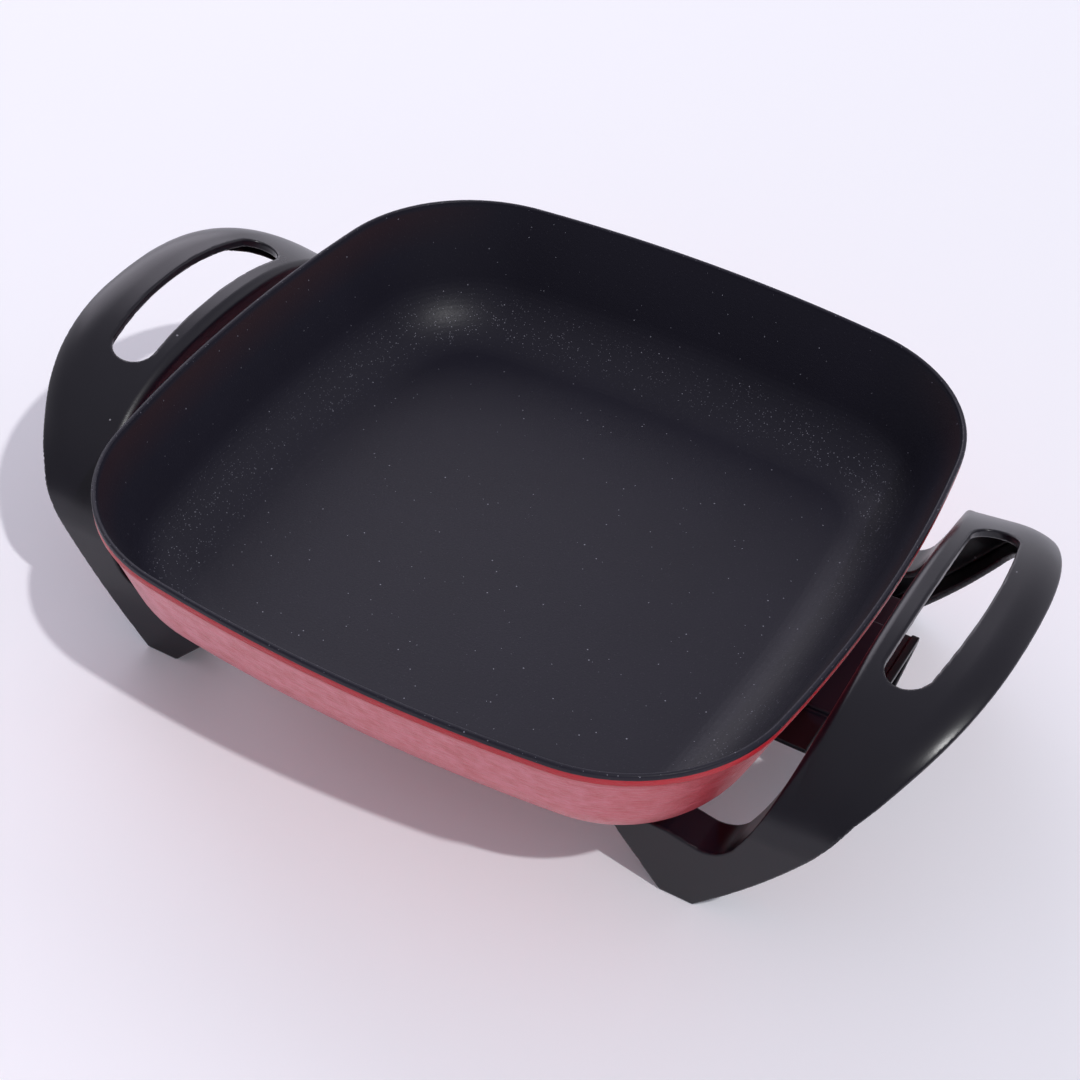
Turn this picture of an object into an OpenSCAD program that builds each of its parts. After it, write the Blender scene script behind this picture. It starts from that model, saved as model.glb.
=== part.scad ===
// Electric skillet: a square cast pan with a cast-in heating element, carried on two
// handles whose ends run down as the legs, with a hooded inlet for a probe thermostat.
// Millimetres. Origin on the table under the middle of the pan, +X towards the inlet, +Z up.

/* [Pan] */
// Width of the pan over its rim, along X and along Y
pan_w = 300; // [280:1:330]
// Height of the rim above the table
rim_z = 99.3; // [96:0.1:110]
// Depth of the casting, from the rim to its underside
pan_h = 60; // [54:0.5:62]
// Radius of the gently bowed sides of the rim
side_r = 657; // [560:1:1200]
// Radius of the corners of the rim
corner_r = 69.6; // [64:0.1:80]
// Draft of the wall, in degrees from vertical
wall_draft = 18.8; // [15:0.1:20]
// Outer radius between the wall and the underside
base_r = 38; // [32:0.5:42]
// Thickness of the cast wall
wall_t = 3.2; // [2.6:0.1:4]
// Thickness of the cast floor
floor_t = 4; // [3.5:0.1:4.6]
// Thickness of the non-stick coating
coat_t = 0.3; // [0.2:0.05:0.5]
// Height of the coated band on the outside of the rim
band_h = 3.7; // [2.5:0.1:6]
// How far the enamelled wall stands back under that band
band_step = 0.9; // [0.6:0.1:1.2]

/* [Heating element] */
// Radius of the element's ring under the floor
ring_r = 78; // [66:0.5:84]
// Radius of the bends from the ring to the leads
bend_r = 16; // [12:0.5:20]
// Distance of each lead from the middle plane
lead_y = 13.5; // [12:0.1:15]
// Height of the element and of the terminals above the table
elem_z = 38; // [37:0.1:38.5]
// Outer radius of the sheath
sheath_r = 3.3; // [3:0.1:3.6]
// Wall of the sheath
sheath_t = 0.6; // [0.4:0.05:0.8]
// Radius of the resistance wire's coil
wire_r = 1.1; // [0.8:0.05:1.4]
// Metal around the sheath in the cast rib
rib_t = 3; // [2.4:0.1:3.6]

/* [Terminals] */
// Radius of the terminal pins
pin_r = 2.4; // [2:0.05:2.6]
// Length of pin beyond its insulator
pin_l = 22; // [16:0.5:24]
// How much thinner a pin is inside its insulator and the sheath
pin_step = 0.3; // [0.2:0.05:0.5]
// Length of the ceramic insulators
insulator_l = 3.5; // [2.5:0.1:4.5]
// Radius of the ceramic insulators
insulator_r = 4; // [3.6:0.1:4.4]
// Radius of the bore that takes the thermostat's probe
probe_r = 3.6; // [3:0.05:4]
// Depth of that bore
probe_l = 46; // [36:0.5:50]
// Wall of the probe well
well_t = 0.8; // [0.6:0.05:1.2]
// How far the cast terminal head ends inside the rim, along X
head_back = 26; // [24:0.5:30]
// Half width of the terminal head
head_hw = 22; // [20:0.5:24]
// How far the terminal head reaches below the terminals
head_drop = 13; // [12:0.5:15]
// Length of each terminal pin inside the sheath
pin_cold = 20; // [16:0.5:26]
// Width of the flange around the mouth of the probe well
well_flange = 1.4; // [1:0.1:1.6]
// Thickness of the steel plate on the head
plate_t = 1.2; // [0.8:0.1:1.6]
// Shank radius of the plate's screw
plate_screw_r = 1.5; // [1.2:0.1:1.6]
// Head radius of the plate's screw
plate_head_r = 2.6; // [2.3:0.1:2.7]
// Head height of the plate's screw
plate_head_h = 1.8; // [1.4:0.1:2.4]
// Length of the plate's screw inside the head
plate_screw_l = 8; // [6:0.5:12]
// How far the plate's screw lies below the terminals
plate_screw_drop = 9.2; // [9.1:0.1:9.8]

/* [Inlet hood] */
// Half width of the hood over the mouth
hood_hw = 28.3; // [27.5:0.1:32]
// Height of the hood's top above the table
hood_top = 52.5; // [50:0.1:54]
// Height of the hood's underside above the table
hood_bottom = 20; // [16:0.1:22]
// Height of the hood's upright flanks at its top
hood_shoulder = 4; // [3:0.1:6]
// Half width of the hood at its underside
hood_foot_hw = 15.5; // [14:0.1:20]
// How far the hood's lip stands out beyond the rim
hood_out = 9; // [6:0.5:12]
// Lean of the mouth's face, in degrees from vertical
mouth_rake = 8; // [4:0.5:12]
// Wall of the hood
hood_t = 2.5; // [2:0.1:3]
// Height and depth of the bead along the lip
lip_bead = 0.8; // [0.5:0.1:1.6]
// Length of that bead along X
lip_l = 3.5; // [2.5:0.1:5]
// Half width of the wings beside the hood
wing_hw = 48.3; // [46:0.1:54]
// How far the wings lie below the hood's top
wing_drop = 2.5; // [1.5:0.1:4]
// How far the wings end inside the rim, along X
wing_back = 5; // [2:0.5:8]
// Length of the wings along X, before the pan's wall cuts them
wing_l = 27; // [24:0.5:30]
// Thickness of the wings
wing_t = 2.5; // [2:0.1:3]
// Radius of the grip ribs on the hood's flanks
grip_rib_r = 0.8; // [0.5:0.05:1]
// Length of those ribs along X
grip_rib_l = 12; // [8:0.5:16]
// Pitch of those ribs down the flank
grip_rib_pitch = 3; // [2.4:0.1:3.6]
// Gap between the hood and the pan
hood_gap = 0.6; // [0.4:0.1:1]
// Height of the bosses that the hood's tabs seat on
tab_boss_h = 3; // [2.4:0.1:4]
// Radius of those bosses
tab_boss_r = 6; // [5:0.1:7]
// Reach of a tab around its screw
tab_reach = 8; // [6.5:0.1:9]
// Width of the arm from a tab to the hood
arm_w = 8; // [8:0.5:10]
// Length along X of the arm's root on the hood's flank
arm_root = 11; // [8:0.5:14]

/* [Handles] */
// How far the outer face of a leg lies inside the rim, along Y
leg_back = 51.1; // [47:0.1:54]
// Depth of a leg along Y
leg_d = 17.5; // [16:0.1:20]
// Wall of the handle moulding
shell_t = 3; // [2.4:0.1:3.4]
// Gap between the rim and the grip
grip_gap = 7.8; // [6:0.1:10]
// Width of the grip along X
grip_w = 48.8; // [44:0.1:56]
// Height of the grip's crest at its inner edge
crest_in = 101.4; // [98:0.1:108]
// Height of the grip's crest at its outer edge
crest_out = 105.9; // [100:0.1:112]
// Drop of the arch from crest to leg, at the inner edge
fall_in = 43.5; // [36:0.5:48]
// Drop of the arch from crest to leg, at the outer edge
fall_out = 57; // [46:0.5:60]
// Depth of the grip's skirt under its crest, at the inner edge
grip_t = 13; // [11:0.1:15]
// How far the foot starts inside the rim, along X
foot_back = 37; // [34:0.5:40]
// Width of the foot along X
foot_w = 14.5; // [12:0.5:18]
// How far outside the rim the leg's outer edge turns into the grip's
knee_out = 31; // [28:0.5:34]
// Height of that turn above the table
knee_z = 70; // [66:0.5:74]
// Bow of the leg's outer edge, from foot to turn
leg_bow = 2.9; // [1:0.1:5]
// Radius of the leg's inner edge
edge_r = 165; // [140:1:220]
// Height above the crest at which that inner edge stands upright
edge_rise = 11; // [8:0.5:16]
// How far the pad ends inside the rim, where the notch starts
pad_back = 37; // [34:0.5:40]
// Length of the pad along X
pad_l = 31; // [29:0.5:35]
// Height of the pad's top above the table
pad_z = 33.9; // [33:0.1:35]
// Radius of the notch between pad and grip
notch_r = 15; // [12:0.5:18]
// How far the bottom of the notch lies below the pad's top
notch_drop = 2.4; // [1:0.1:4]

/* [Finger slot] */
// Half length of the slot's straight stretch
slot_hl = 42.5; // [38:0.5:48]
// Middle of the slot along Y
slot_y = 6.5; // [0:0.5:8]
// Width of the grip between its inner edge and the slot
slot_edge = 7.2; // [6:0.1:10]
// Width of the slot at its middle
slot_w = 21.5; // [18:0.1:24]
// Radius of the slot's inner edge
slot_in_r = 900; // [400:1:1200]
// Radius of the slot's outer edge
slot_out_r = 258; // [200:1:400]
// Depth of the wall around the slot
slot_wall_h = 6; // [4:0.1:8]

/* [Fasteners] */
// Shank radius of the handle screws
screw_r = 2.5; // [2:0.1:3]
// Head radius of the handle screws
screw_head_r = 4.6; // [4:0.1:5]
// Head height of the handle screws
screw_head_h = 3; // [2:0.1:3.5]
// How far a handle screw reaches above its pad
screw_reach = 7.4; // [5:0.1:8]
// Radius of the handle washers
washer_r = 6; // [5.2:0.1:6.6]
// Thickness of every washer
washer_t = 1; // [0.6:0.1:1.4]
// Radius of the cast bosses over the pads
boss_r = 8; // [7:0.1:9]
// Radial room for a driver around a handle washer
driver_gap = 0.8; // [0.4:0.1:1]
// How far a handle screw lies inside the rim, along X
screw_back = 52; // [48:0.5:56]
// How far a handle screw lies inside the leg's outer face
screw_in = 9.9; // [9:0.1:10.5]
// Shank radius of the hood and plate screws
small_screw_r = 1.8; // [1.5:0.1:2]
// Head radius of the hood and plate screws
small_head_r = 3.4; // [3:0.1:3.8]
// Head height of the hood and plate screws
small_head_h = 2.2; // [1.6:0.1:2.6]
// Radius of the hood washers
small_washer_r = 4.6; // [4:0.1:5]
// How far the hood screws lie inside the rim, along X
hood_screw_back = 46; // [44:0.5:50]
// Place of the hood screws along Y
hood_screw_y = 38; // [34:0.5:42]
// Radial clearance of a screw in a hole that it only passes through
screw_gap = 0.3; // [0.2:0.05:0.6]

/* [Hidden] */
$fn = 48;

enamel_red = [0.72, 0.10, 0.14];
coat_black = [0.13, 0.13, 0.15];
plastic_black = [0.10, 0.10, 0.11];
steel = [0.75, 0.75, 0.76];
nickel = [0.80, 0.79, 0.76];
magnesia_white = [0.94, 0.93, 0.90];
ceramic_cream = [0.90, 0.86, 0.78];

side_steps = 6;       // facets along each side of the rim
corner_steps = 10;    // facets around each corner of the rim
arc_steps = 9;        // facets around the radius between wall and floor
arch_steps = 32;      // facets from one leg over the grip to the other
edge_steps = 10;      // facets along one curved edge of a leg or of the slot
ring_steps = 27;      // stretches of the element's ring
bend_steps = 6;       // stretches of each bend of the element
tube_sides = 12;      // facets around the element
over = 1;             // how far a cutting solid runs past what it cuts
reach = 300;          // length of a cutting solid that has to pass the whole part

// Pan: plan of the rim, then the profile of the wall
side_c = side_r - pan_w / 2;
corner_c = (sqrt(2 * pow(side_r - corner_r, 2) - pow(side_c, 2)) - side_c) / 2;
side_a = atan2(corner_c, corner_c + side_c);
base_z = rim_z - pan_h;
band_z = rim_z - band_h;
rim_round = 0.8;
root_z = base_z + 0.75 * floor_t;    // height to which bosses and bores run into the floor
blend_z = base_z + base_r;
blend_x = pan_w / 2 - wall_inset(blend_z) - base_r / cos(wall_draft);

// Element: where its leads end, and where the ring bends into them
head_x = pan_w / 2 - head_back;
ring_a = asin((lead_y + bend_r) / (ring_r + bend_r));
bend_x = (ring_r + bend_r) * cos(ring_a);
pin_x = head_x - pin_cold;
cold_r = pin_r - pin_step;
collar_x = head_x + insulator_l;

// Terminal head and probe well
head_in = ring_r - sheath_r - rib_t;
head_z = elem_z - head_drop;
face_x = head_x + plate_t;
well_r = probe_r + well_t;
well_x = face_x + well_t;
plate_screw_z = elem_z - plate_screw_drop;

// Hood
hood_x = pan_w / 2 + hood_out;
wing_x = pan_w / 2 - wing_back;
arm_x = face_x + arm_root;
hood_screw_x = pan_w / 2 - hood_screw_back;
tab_z = base_z - tab_boss_h;
tab_head_z = tab_z - hood_t - washer_t;

// Handles
leg_y = pan_w / 2 - leg_back;
grip_in = pan_w / 2 + grip_gap;
grip_out = grip_in + grip_w;
foot_in = pan_w / 2 - foot_back;
knee_x = pan_w / 2 + knee_out;
pad_out = pan_w / 2 - pad_back;
pad_in = pad_out - pad_l;
slot_in = grip_in + slot_edge;
slot_out = slot_in + slot_w;
screw_x = pan_w / 2 - screw_back;
screw_y = leg_y - screw_in;
notch_z = pad_z - notch_drop;
edge_z = crest_in + edge_rise;
edge_x = grip_in - sqrt(pow(edge_r, 2) - pow(edge_rise, 2));
notch_cz = notch_z + notch_r;
notch_cx = edge_x + sqrt(pow(edge_r - notch_r, 2) - pow(edge_z - notch_cz, 2));
notch_a = atan2(edge_z - notch_cz, notch_cx - edge_x);
top_z = crest_out + over;
foot_out = foot_in + foot_w;
pad_head_z = pad_z - shell_t - washer_t;
open_hw = leg_y - leg_d;

// Points of the rim's plan, moved inwards by inset
function plan(inset) = [
    for (q = [0:3], s = [0:side_steps + corner_steps - 1])
        turn(s < side_steps ? side_point(s, inset) : corner_point(s - side_steps, inset), 90 * q)
];
function side_point(s, inset) =
    let (a = side_a * (2 * s / side_steps - 1), r = side_r - inset)
    [r * cos(a) - side_c, r * sin(a)];
function corner_point(s, inset) =
    let (a = side_a + (90 - 2 * side_a) * s / corner_steps, r = corner_r - inset)
    [corner_c + r * cos(a), corner_c + r * sin(a)];
function turn(p, a) = [p.x * cos(a) - p.y * sin(a), p.x * sin(a) + p.y * cos(a)];
function ring(inset, z) = [for (p = plan(inset)) [p.x, p.y, z]];

// Inset of the enamelled wall at a height, and of the wall's inside t below the coated surface
function wall_inset(z) = band_step + (band_z - z) * tan(wall_draft);
function inside_inset(z, t) = wall_inset(z) + (wall_t + coat_t - t) / cos(wall_draft);

// Profile from a wall's top round to the flat of the floor, as [inset, z]
function bowl(start, floor_z, r) =
    let (zc = floor_z + r,
         ic = start[0] + (start[1] - zc) * tan(wall_draft) + r / cos(wall_draft))
    concat([start], [
        for (i = [0:arc_steps])
            let (a = wall_draft + (90 - wall_draft) * i / arc_steps)
            [ic - r * cos(a), zc - r * sin(a)]
    ]);

// Profile t below the coated surface: up the band, over the rim and down the inside
function lining(t) =
    let (z = rim_z - t - rim_round, in = inside_inset(z, t))
    concat(
        [[t, band_z], [t, z], [t + rim_round, rim_z - t], [in - rim_round, rim_z - t]],
        bowl([in, z], base_z + floor_t + coat_t - t, base_r - wall_t - coat_t + t)
    );
function reversed(list) = [for (i = [len(list) - 1:-1:0]) list[i]];

// Points of an arc about c from angle a0 to a1
function arc(c, r, a0, a1) =
    [for (i = [0:edge_steps]) let (a = a0 + (a1 - a0) * i / edge_steps) c + r * [cos(a), sin(a)]];

// Points between p and q, bowed sideways by h
function bowed(p, q, h) =
    let (d = q - p, n = [d.y, -d.x] / norm(d))
    [for (i = [0:edge_steps]) let (u = i / edge_steps) p + u * d + 4 * h * u * (1 - u) * n];

// A clockwise outline moved inwards by t
function inset(list, t) = [
    for (i = [0:len(list) - 1])
        let (a = list[(i + len(list) - 1) % len(list)], b = list[i], c = list[(i + 1) % len(list)],
             n = side_normal(a, b), m = side_normal(b, c))
        b + t * (n + m) / (1 + n * m)
];
function side_normal(p, q) = [q.y - p.y, p.x - q.x] / norm(q - p);

// Side view of a handle, in X and Z
function side_view() = concat(
    [[foot_in, 0], [pad_in, pad_z], [pad_out, pad_z]],
    arc([notch_cx, notch_cz], notch_r, -90, -notch_a),
    [for (i = [1:edge_steps])
        let (z = notch_cz - notch_r * sin(notch_a), h = z + (top_z - z) * i / edge_steps)
        [edge_x + sqrt(pow(edge_r, 2) - pow(edge_z - h, 2)), h]],
    [[grip_out + (top_z - crest_out) * (grip_out - knee_x) / (crest_out - knee_z), top_z]],
    bowed([knee_x, knee_z], [foot_out, 0], -leg_bow)
);

// Section of a handle's arch at x, its surface moved inwards by t
function arch(x, t) =
    let (u = max(0, (x - grip_in) / (grip_out - grip_in)),
         crest = crest_in + u * (crest_out - crest_in),
         fall = fall_in + u * (fall_out - fall_in))
    arch_ring(x, leg_y - t, crest - fall, fall - t);
function arch_ring(x, half, z, rise) = concat(
    [for (i = [0:arch_steps]) let (a = 180 * i / arch_steps) [x, half * cos(a), z + rise * sin(a)]],
    [[x, -half, -over], [x, half, -over]]
);

// Plan of the finger slot, grown by t
function slot_plan(t) =
    let (xi = slot_in - slot_in_r + sqrt(pow(slot_in_r, 2) - pow(slot_hl, 2)),
         xo = slot_out - slot_out_r + sqrt(pow(slot_out_r, 2) - pow(slot_hl, 2)),
         ai = asin(slot_hl / slot_in_r),
         ao = asin(slot_hl / slot_out_r),
         c = (xi + xo) / 2,
         r = (xo - xi) / 2 + t)
    concat(
        arc([slot_out - slot_out_r, slot_y], slot_out_r + t, -ao, ao),
        arc([c, slot_y + slot_hl], r, ao, 180 - ai),
        reversed(arc([slot_in - slot_in_r, slot_y], slot_in_r - t, -ai, ai)),
        arc([c, slot_y - slot_hl], r, 180 + ai, 360 - ao)
    );

// Clockwise section of the hood, in Y and Z
function hood_section() = [
    [-hood_hw, hood_top], [hood_hw, hood_top], [hood_hw, hood_top - hood_shoulder],
    [hood_foot_hw, hood_bottom], [-hood_foot_hw, hood_bottom], [-hood_hw, hood_top - hood_shoulder]
];

// Stations along the element from the front lead's end to the rear one's, as [x, y, heading]
function route(end_x) = concat(
    [[end_x, -lead_y, 180]],
    [for (i = [0:bend_steps])
        let (h = 180 + (90 - ring_a) * i / bend_steps)
        [bend_x + bend_r * sin(h), -lead_y - bend_r - bend_r * cos(h), h]],
    [for (i = [1:ring_steps - 1])
        let (a = -ring_a - (360 - 2 * ring_a) * i / ring_steps)
        [ring_r * cos(a), ring_r * sin(a), a - 90]],
    [for (i = [bend_steps:-1:0])
        let (h = (ring_a - 90) * i / bend_steps)
        [bend_x + bend_r * sin(h), lead_y + bend_r - bend_r * cos(h), h]],
    [[end_x, lead_y, 0]]
);

// Closed solid through rings of points, each ring anticlockwise seen from the last one
module loft(rings) {
    n = len(rings[0]);
    last = (len(rings) - 1) * n;
    sides = [
        for (i = [0:len(rings) - 2], j = [0:n - 1])
            [i * n + j, (i + 1) * n + j, (i + 1) * n + (j + 1) % n, i * n + (j + 1) % n]
    ];
    caps = [[for (j = [0:n - 1]) j], [for (j = [n - 1:-1:0]) last + j]];
    polyhedron([for (r = rings) each r], concat(sides, caps));
}

module along_x(x0, x1) {
    translate([x0, 0, 0])
        rotate([90, 0, 90])
            linear_extrude(x1 - x0)
                children();
}

module rod_x(x0, x1, r) {
    translate([x0, 0, 0])
        rotate([0, 90, 0])
            cylinder(r = r, h = x1 - x0);
}

module both_y() {
    children();
    mirror([0, 1, 0])
        children();
}

// A rod of radius r along the element, with leads that end at end_x and its top cut flat at cap
module element_rod(r, end_x, cap = rim_z) {
    loft([
        for (p = route(end_x))
            [for (i = [0:tube_sides - 1])
                let (a = 360 * (i + 0.5) / tube_sides)
                [p[0] - r * cos(a) * sin(p[2]), p[1] + r * cos(a) * cos(p[2]), min(cap, elem_z + r * sin(a))]]
    ]);
}

module at_leads() {
    both_y()
        translate([0, lead_y, elem_z])
            children();
}

module at_handle_screws() {
    both_y()
        translate([screw_x, screw_y, 0])
            children();
}

module at_hood_screws() {
    both_y()
        translate([hood_screw_x, hood_screw_y, 0])
            children();
}

module pan_casting() {
    outside = reversed(bowl([band_step, band_z], base_z, base_r));
    color(enamel_red)
        difference() {
            union() {
                loft([for (p = concat(outside, lining(coat_t))) ring(p[0], p[1])]);
                terminal_head();
                at_hood_screws()
                    translate([0, 0, tab_z])
                        cylinder(r = tab_boss_r, h = root_z - tab_z);
                for (side = [0, 1])
                    mirror([side, 0, 0])
                        at_handle_screws()
                            translate([0, 0, pad_z])
                                cylinder(r = boss_r, h = root_z - pad_z);
            }
            element_rod(sheath_r, head_x + over);
            translate([0, 0, elem_z])
                rod_x(well_x - probe_l - well_t, head_x + over, well_r);
            translate([0, 0, plate_screw_z])
                rod_x(head_x - plate_screw_l, head_x + over, plate_screw_r);
            at_hood_screws()
                translate([0, 0, tab_z - over])
                    cylinder(r = small_screw_r, h = root_z - tab_z);
            for (side = [0, 1])
                mirror([side, 0, 0])
                    at_handle_screws()
                        translate([0, 0, pad_z - over])
                            cylinder(r = screw_r, h = screw_reach + over);
        }
}

// The cast rib around the element and the block that the terminals come out of
module terminal_head() {
    element_rod(sheath_r + rib_t, head_x - over, root_z);
    translate([head_in, -head_hw, head_z])
        cube([head_x - head_in, 2 * head_hw, root_z - head_z]);
}

module nonstick_coating() {
    color(coat_black)
        loft([for (p = concat(reversed(lining(coat_t)), lining(0))) ring(p[0], p[1])]);
}

module element_sheath() {
    color(steel)
        difference() {
            element_rod(sheath_r, head_x);
            element_rod(sheath_r - sheath_t, head_x + over);
        }
}

module magnesia_filling() {
    color(magnesia_white)
        difference() {
            element_rod(sheath_r - sheath_t, head_x);
            element_rod(wire_r, pin_x);
            at_leads()
                rod_x(pin_x, head_x + over, cold_r);
        }
}

module resistance_wire() {
    color(nickel)
        element_rod(wire_r, pin_x);
}

module terminal_pin(side) {
    tip = pin_r / 2;
    color(nickel)
        translate([0, side * lead_y, elem_z]) {
            rod_x(pin_x, collar_x, cold_r);
            rod_x(collar_x, collar_x + pin_l - tip, pin_r);
            translate([collar_x + pin_l - tip, 0, 0])
                rotate([0, 90, 0])
                    cylinder(r1 = pin_r, r2 = pin_r - tip, h = tip);
        }
}

module insulator(side) {
    color(ceramic_cream)
        translate([0, side * lead_y, elem_z])
            difference() {
                rod_x(head_x, collar_x, insulator_r);
                rod_x(head_x - over, collar_x + over, cold_r);
            }
}

module probe_well() {
    color(steel)
        translate([0, 0, elem_z])
            difference() {
                union() {
                    rod_x(well_x - probe_l - well_t, well_x, well_r);
                    rod_x(face_x, well_x, well_r + well_flange);
                }
                rod_x(well_x - probe_l, well_x + over, probe_r);
            }
}

module terminal_plate() {
    color(steel)
        difference() {
            translate([head_x, -head_hw, head_z])
                cube([plate_t, 2 * head_hw, root_z - head_z]);
            at_leads()
                rod_x(head_x - over, face_x + over, insulator_r);
            translate([0, 0, elem_z])
                rod_x(head_x - over, face_x + over, well_r);
            translate([0, 0, plate_screw_z])
                rod_x(head_x - over, face_x + over, plate_screw_r + screw_gap);
        }
}

module plate_screw() {
    color(nickel)
        translate([0, 0, plate_screw_z]) {
            rod_x(head_x - plate_screw_l, face_x, plate_screw_r);
            rod_x(face_x, face_x + plate_head_h, plate_head_r);
        }
}

module socket_shroud() {
    color(plastic_black)
        difference() {
            union() {
                hood_outside();
                wings();
                tabs();
            }
            along_x(face_x - over, hood_x + over)
                polygon(inset(hood_section(), hood_t));
            mouth_cut();
            pan_room();
            at_hood_screws()
                cylinder(r = small_screw_r + screw_gap, h = tab_z + over);
        }
}

module hood_outside() {
    shoulder_z = hood_top - hood_shoulder;
    run = [hood_foot_hw - hood_hw, hood_bottom - shoulder_z];
    down = run / norm(run);
    along_x(face_x, hood_x)
        polygon(hood_section());
    along_x(hood_x - lip_l, hood_x)
        polygon(inset(hood_section(), -lip_bead));
    both_y()
        for (d = [grip_rib_pitch:grip_rib_pitch:norm(run) - grip_rib_pitch])
            translate([0, hood_hw + down[0] * d, shoulder_z + down[1] * d])
                rod_x(hood_x - lip_l - grip_rib_l, hood_x, grip_rib_r);
}

// Thin covers that carry the hood's top out to both sides
module wings() {
    translate([wing_x - wing_l, -wing_hw, hood_top - wing_drop - wing_t])
        cube([wing_l, 2 * wing_hw, wing_t]);
}

// Tabs under the pan, each on an arm from the hood's flank past the terminal head
module tabs() {
    tab_in = hood_screw_x - tab_reach;
    arm_y = head_hw + hood_gap;
    both_y()
        translate([0, 0, tab_z - hood_t]) {
            translate([tab_in, hood_screw_y - tab_reach, 0])
                cube([2 * tab_reach, 2 * tab_reach, hood_t]);
            translate([tab_in, arm_y, 0])
                cube([arm_x - tab_in, arm_w, hood_t]);
            translate([face_x, hood_foot_hw, 0])
                cube([arm_x - face_x, arm_y + over - hood_foot_hw, hood_t]);
        }
}

module mouth_cut() {
    translate([hood_x, 0, hood_top + lip_bead])
        rotate([0, mouth_rake, 0])
            translate([0, -reach / 2, -reach / 2])
                cube([reach, reach, reach]);
}

// Room for the pan's wall and underside
module pan_room() {
    translate([blend_x, reach / 2, blend_z])
        rotate([90, 0, 0])
            cylinder(r = base_r + hood_gap, h = reach);
}

module shroud_screws() {
    color(nickel)
        at_hood_screws()
            pan_screw(tab_head_z, small_head_r, small_head_h, small_screw_r, root_z - over);
}

module shroud_washers() {
    color(steel)
        at_hood_screws()
            translate([0, 0, tab_head_z])
                washer(small_washer_r, small_screw_r);
}

// A screw whose head hangs below z and whose shank ends at end_z
module pan_screw(z, head_r, head_h, shank_r, end_z) {
    translate([0, 0, z - head_h])
        cylinder(r = head_r, h = head_h);
    translate([0, 0, z - head_h / 2])
        cylinder(r = shank_r, h = end_z - z + head_h / 2);
}

module washer(outer, shank_r) {
    difference() {
        cylinder(r = outer, h = washer_t);
        translate([0, 0, -over])
            cylinder(r = shank_r + screw_gap, h = washer_t + 2 * over);
    }
}

// The handle on the +X side: a grip with a finger slot, whose ends run down as two legs
module handle() {
    color(plastic_black)
        difference() {
            union() {
                difference() {
                    shaped(0);
                    shaped(shell_t);
                }
                slot_wall();
            }
            loft([for (x = [0, reach]) arch_ring(x, open_hw, crest_in - fall_in, fall_in - grip_t)]);
            column(slot_plan(0));
            at_handle_screws()
                cylinder(r = washer_r + driver_gap, h = pad_z - shell_t);
            at_handle_screws()
                cylinder(r = screw_r + screw_gap, h = pad_z + over);
        }
}

// The handle's outer form, its skin and flanges moved inwards by t
module shaped(t) {
    intersection() {
        rotate([90, 0, 0])
            linear_extrude(reach, center = true)
                polygon(inset(side_view(), t));
        loft([for (x = [0, grip_in, grip_out + 2 * over]) arch(x, t)]);
    }
}

module column(outline) {
    translate([0, 0, crest_in - fall_in])
        linear_extrude(fall_in + fall_out)
            polygon(outline);
}

// A wall that hangs from the skin around the finger slot
module slot_wall() {
    difference() {
        intersection() {
            loft([for (x = [0, grip_in, grip_out + 2 * over]) arch(x, shell_t / 2)]);
            column(slot_plan(shell_t));
        }
        loft([for (x = [0, grip_in, grip_out + 2 * over]) arch(x, slot_wall_h)]);
    }
}

module handle_screws() {
    color(nickel)
        at_handle_screws()
            pan_screw(pad_head_z, screw_head_r, screw_head_h, screw_r, pad_z + screw_reach);
}

module handle_washers() {
    color(steel)
        at_handle_screws()
            translate([0, 0, pad_head_z])
                washer(washer_r, screw_r);
}

module left() {
    mirror([1, 0, 0])
        children();
}

pan_casting();
nonstick_coating();
element_sheath();
magnesia_filling();
resistance_wire();
terminal_pin(-1);  // terminal_pin_front
terminal_pin(1);  // terminal_pin_rear
insulator(-1);  // insulator_front
insulator(1);  // insulator_rear
probe_well();
terminal_plate();
plate_screw();
socket_shroud();
shroud_screws();
shroud_washers();
left() handle();  // left_handle
left() handle_screws();  // left_handle_screws
left() handle_washers();  // left_handle_washers
handle();  // right_handle
handle_screws();  // right_handle_screws
handle_washers();  // right_handle_washers
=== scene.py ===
"""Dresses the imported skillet: cast pan, lining, handles, inlet hood and fasteners, in metres."""

import math

import bpy
import numpy as np
from bpy.props import FloatProperty, FloatVectorProperty, PointerProperty
from bpy.types import Operator, Panel, PropertyGroup
from mathutils import Matrix, Vector


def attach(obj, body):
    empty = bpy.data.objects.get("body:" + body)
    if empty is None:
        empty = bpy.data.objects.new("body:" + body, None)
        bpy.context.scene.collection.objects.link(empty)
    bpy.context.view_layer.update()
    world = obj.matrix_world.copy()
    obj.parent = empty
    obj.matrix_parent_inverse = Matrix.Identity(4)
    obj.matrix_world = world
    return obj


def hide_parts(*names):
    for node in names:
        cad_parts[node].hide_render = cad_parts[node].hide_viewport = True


bl_info = {
    "name": "Electric skillet",
    "version": (1, 0, 0),
    "blender": (4, 5, 0),
    "location": "3D View > Sidebar > Skillet",
    "description": "Builds a square electric skillet with its enamel, lining and moulded plastic",
    "category": "Object",
}

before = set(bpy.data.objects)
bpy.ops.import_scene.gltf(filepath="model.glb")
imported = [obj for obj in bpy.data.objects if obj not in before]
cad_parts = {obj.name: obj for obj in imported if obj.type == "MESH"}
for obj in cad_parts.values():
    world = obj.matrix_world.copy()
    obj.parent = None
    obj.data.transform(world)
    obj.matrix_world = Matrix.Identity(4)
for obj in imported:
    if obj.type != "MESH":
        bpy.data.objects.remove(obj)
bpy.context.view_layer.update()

SIDE_STEPS = 28
CORNER_STEPS = 20
ARC_STEPS = 16
EDGE_STEPS = 24
WALL_STEPS = 14
LIP_STEPS = 7
FLOOR_HALF = 6.0
FLUSH = 0.00003


# ---------------------------------------------------------------- properties


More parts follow.
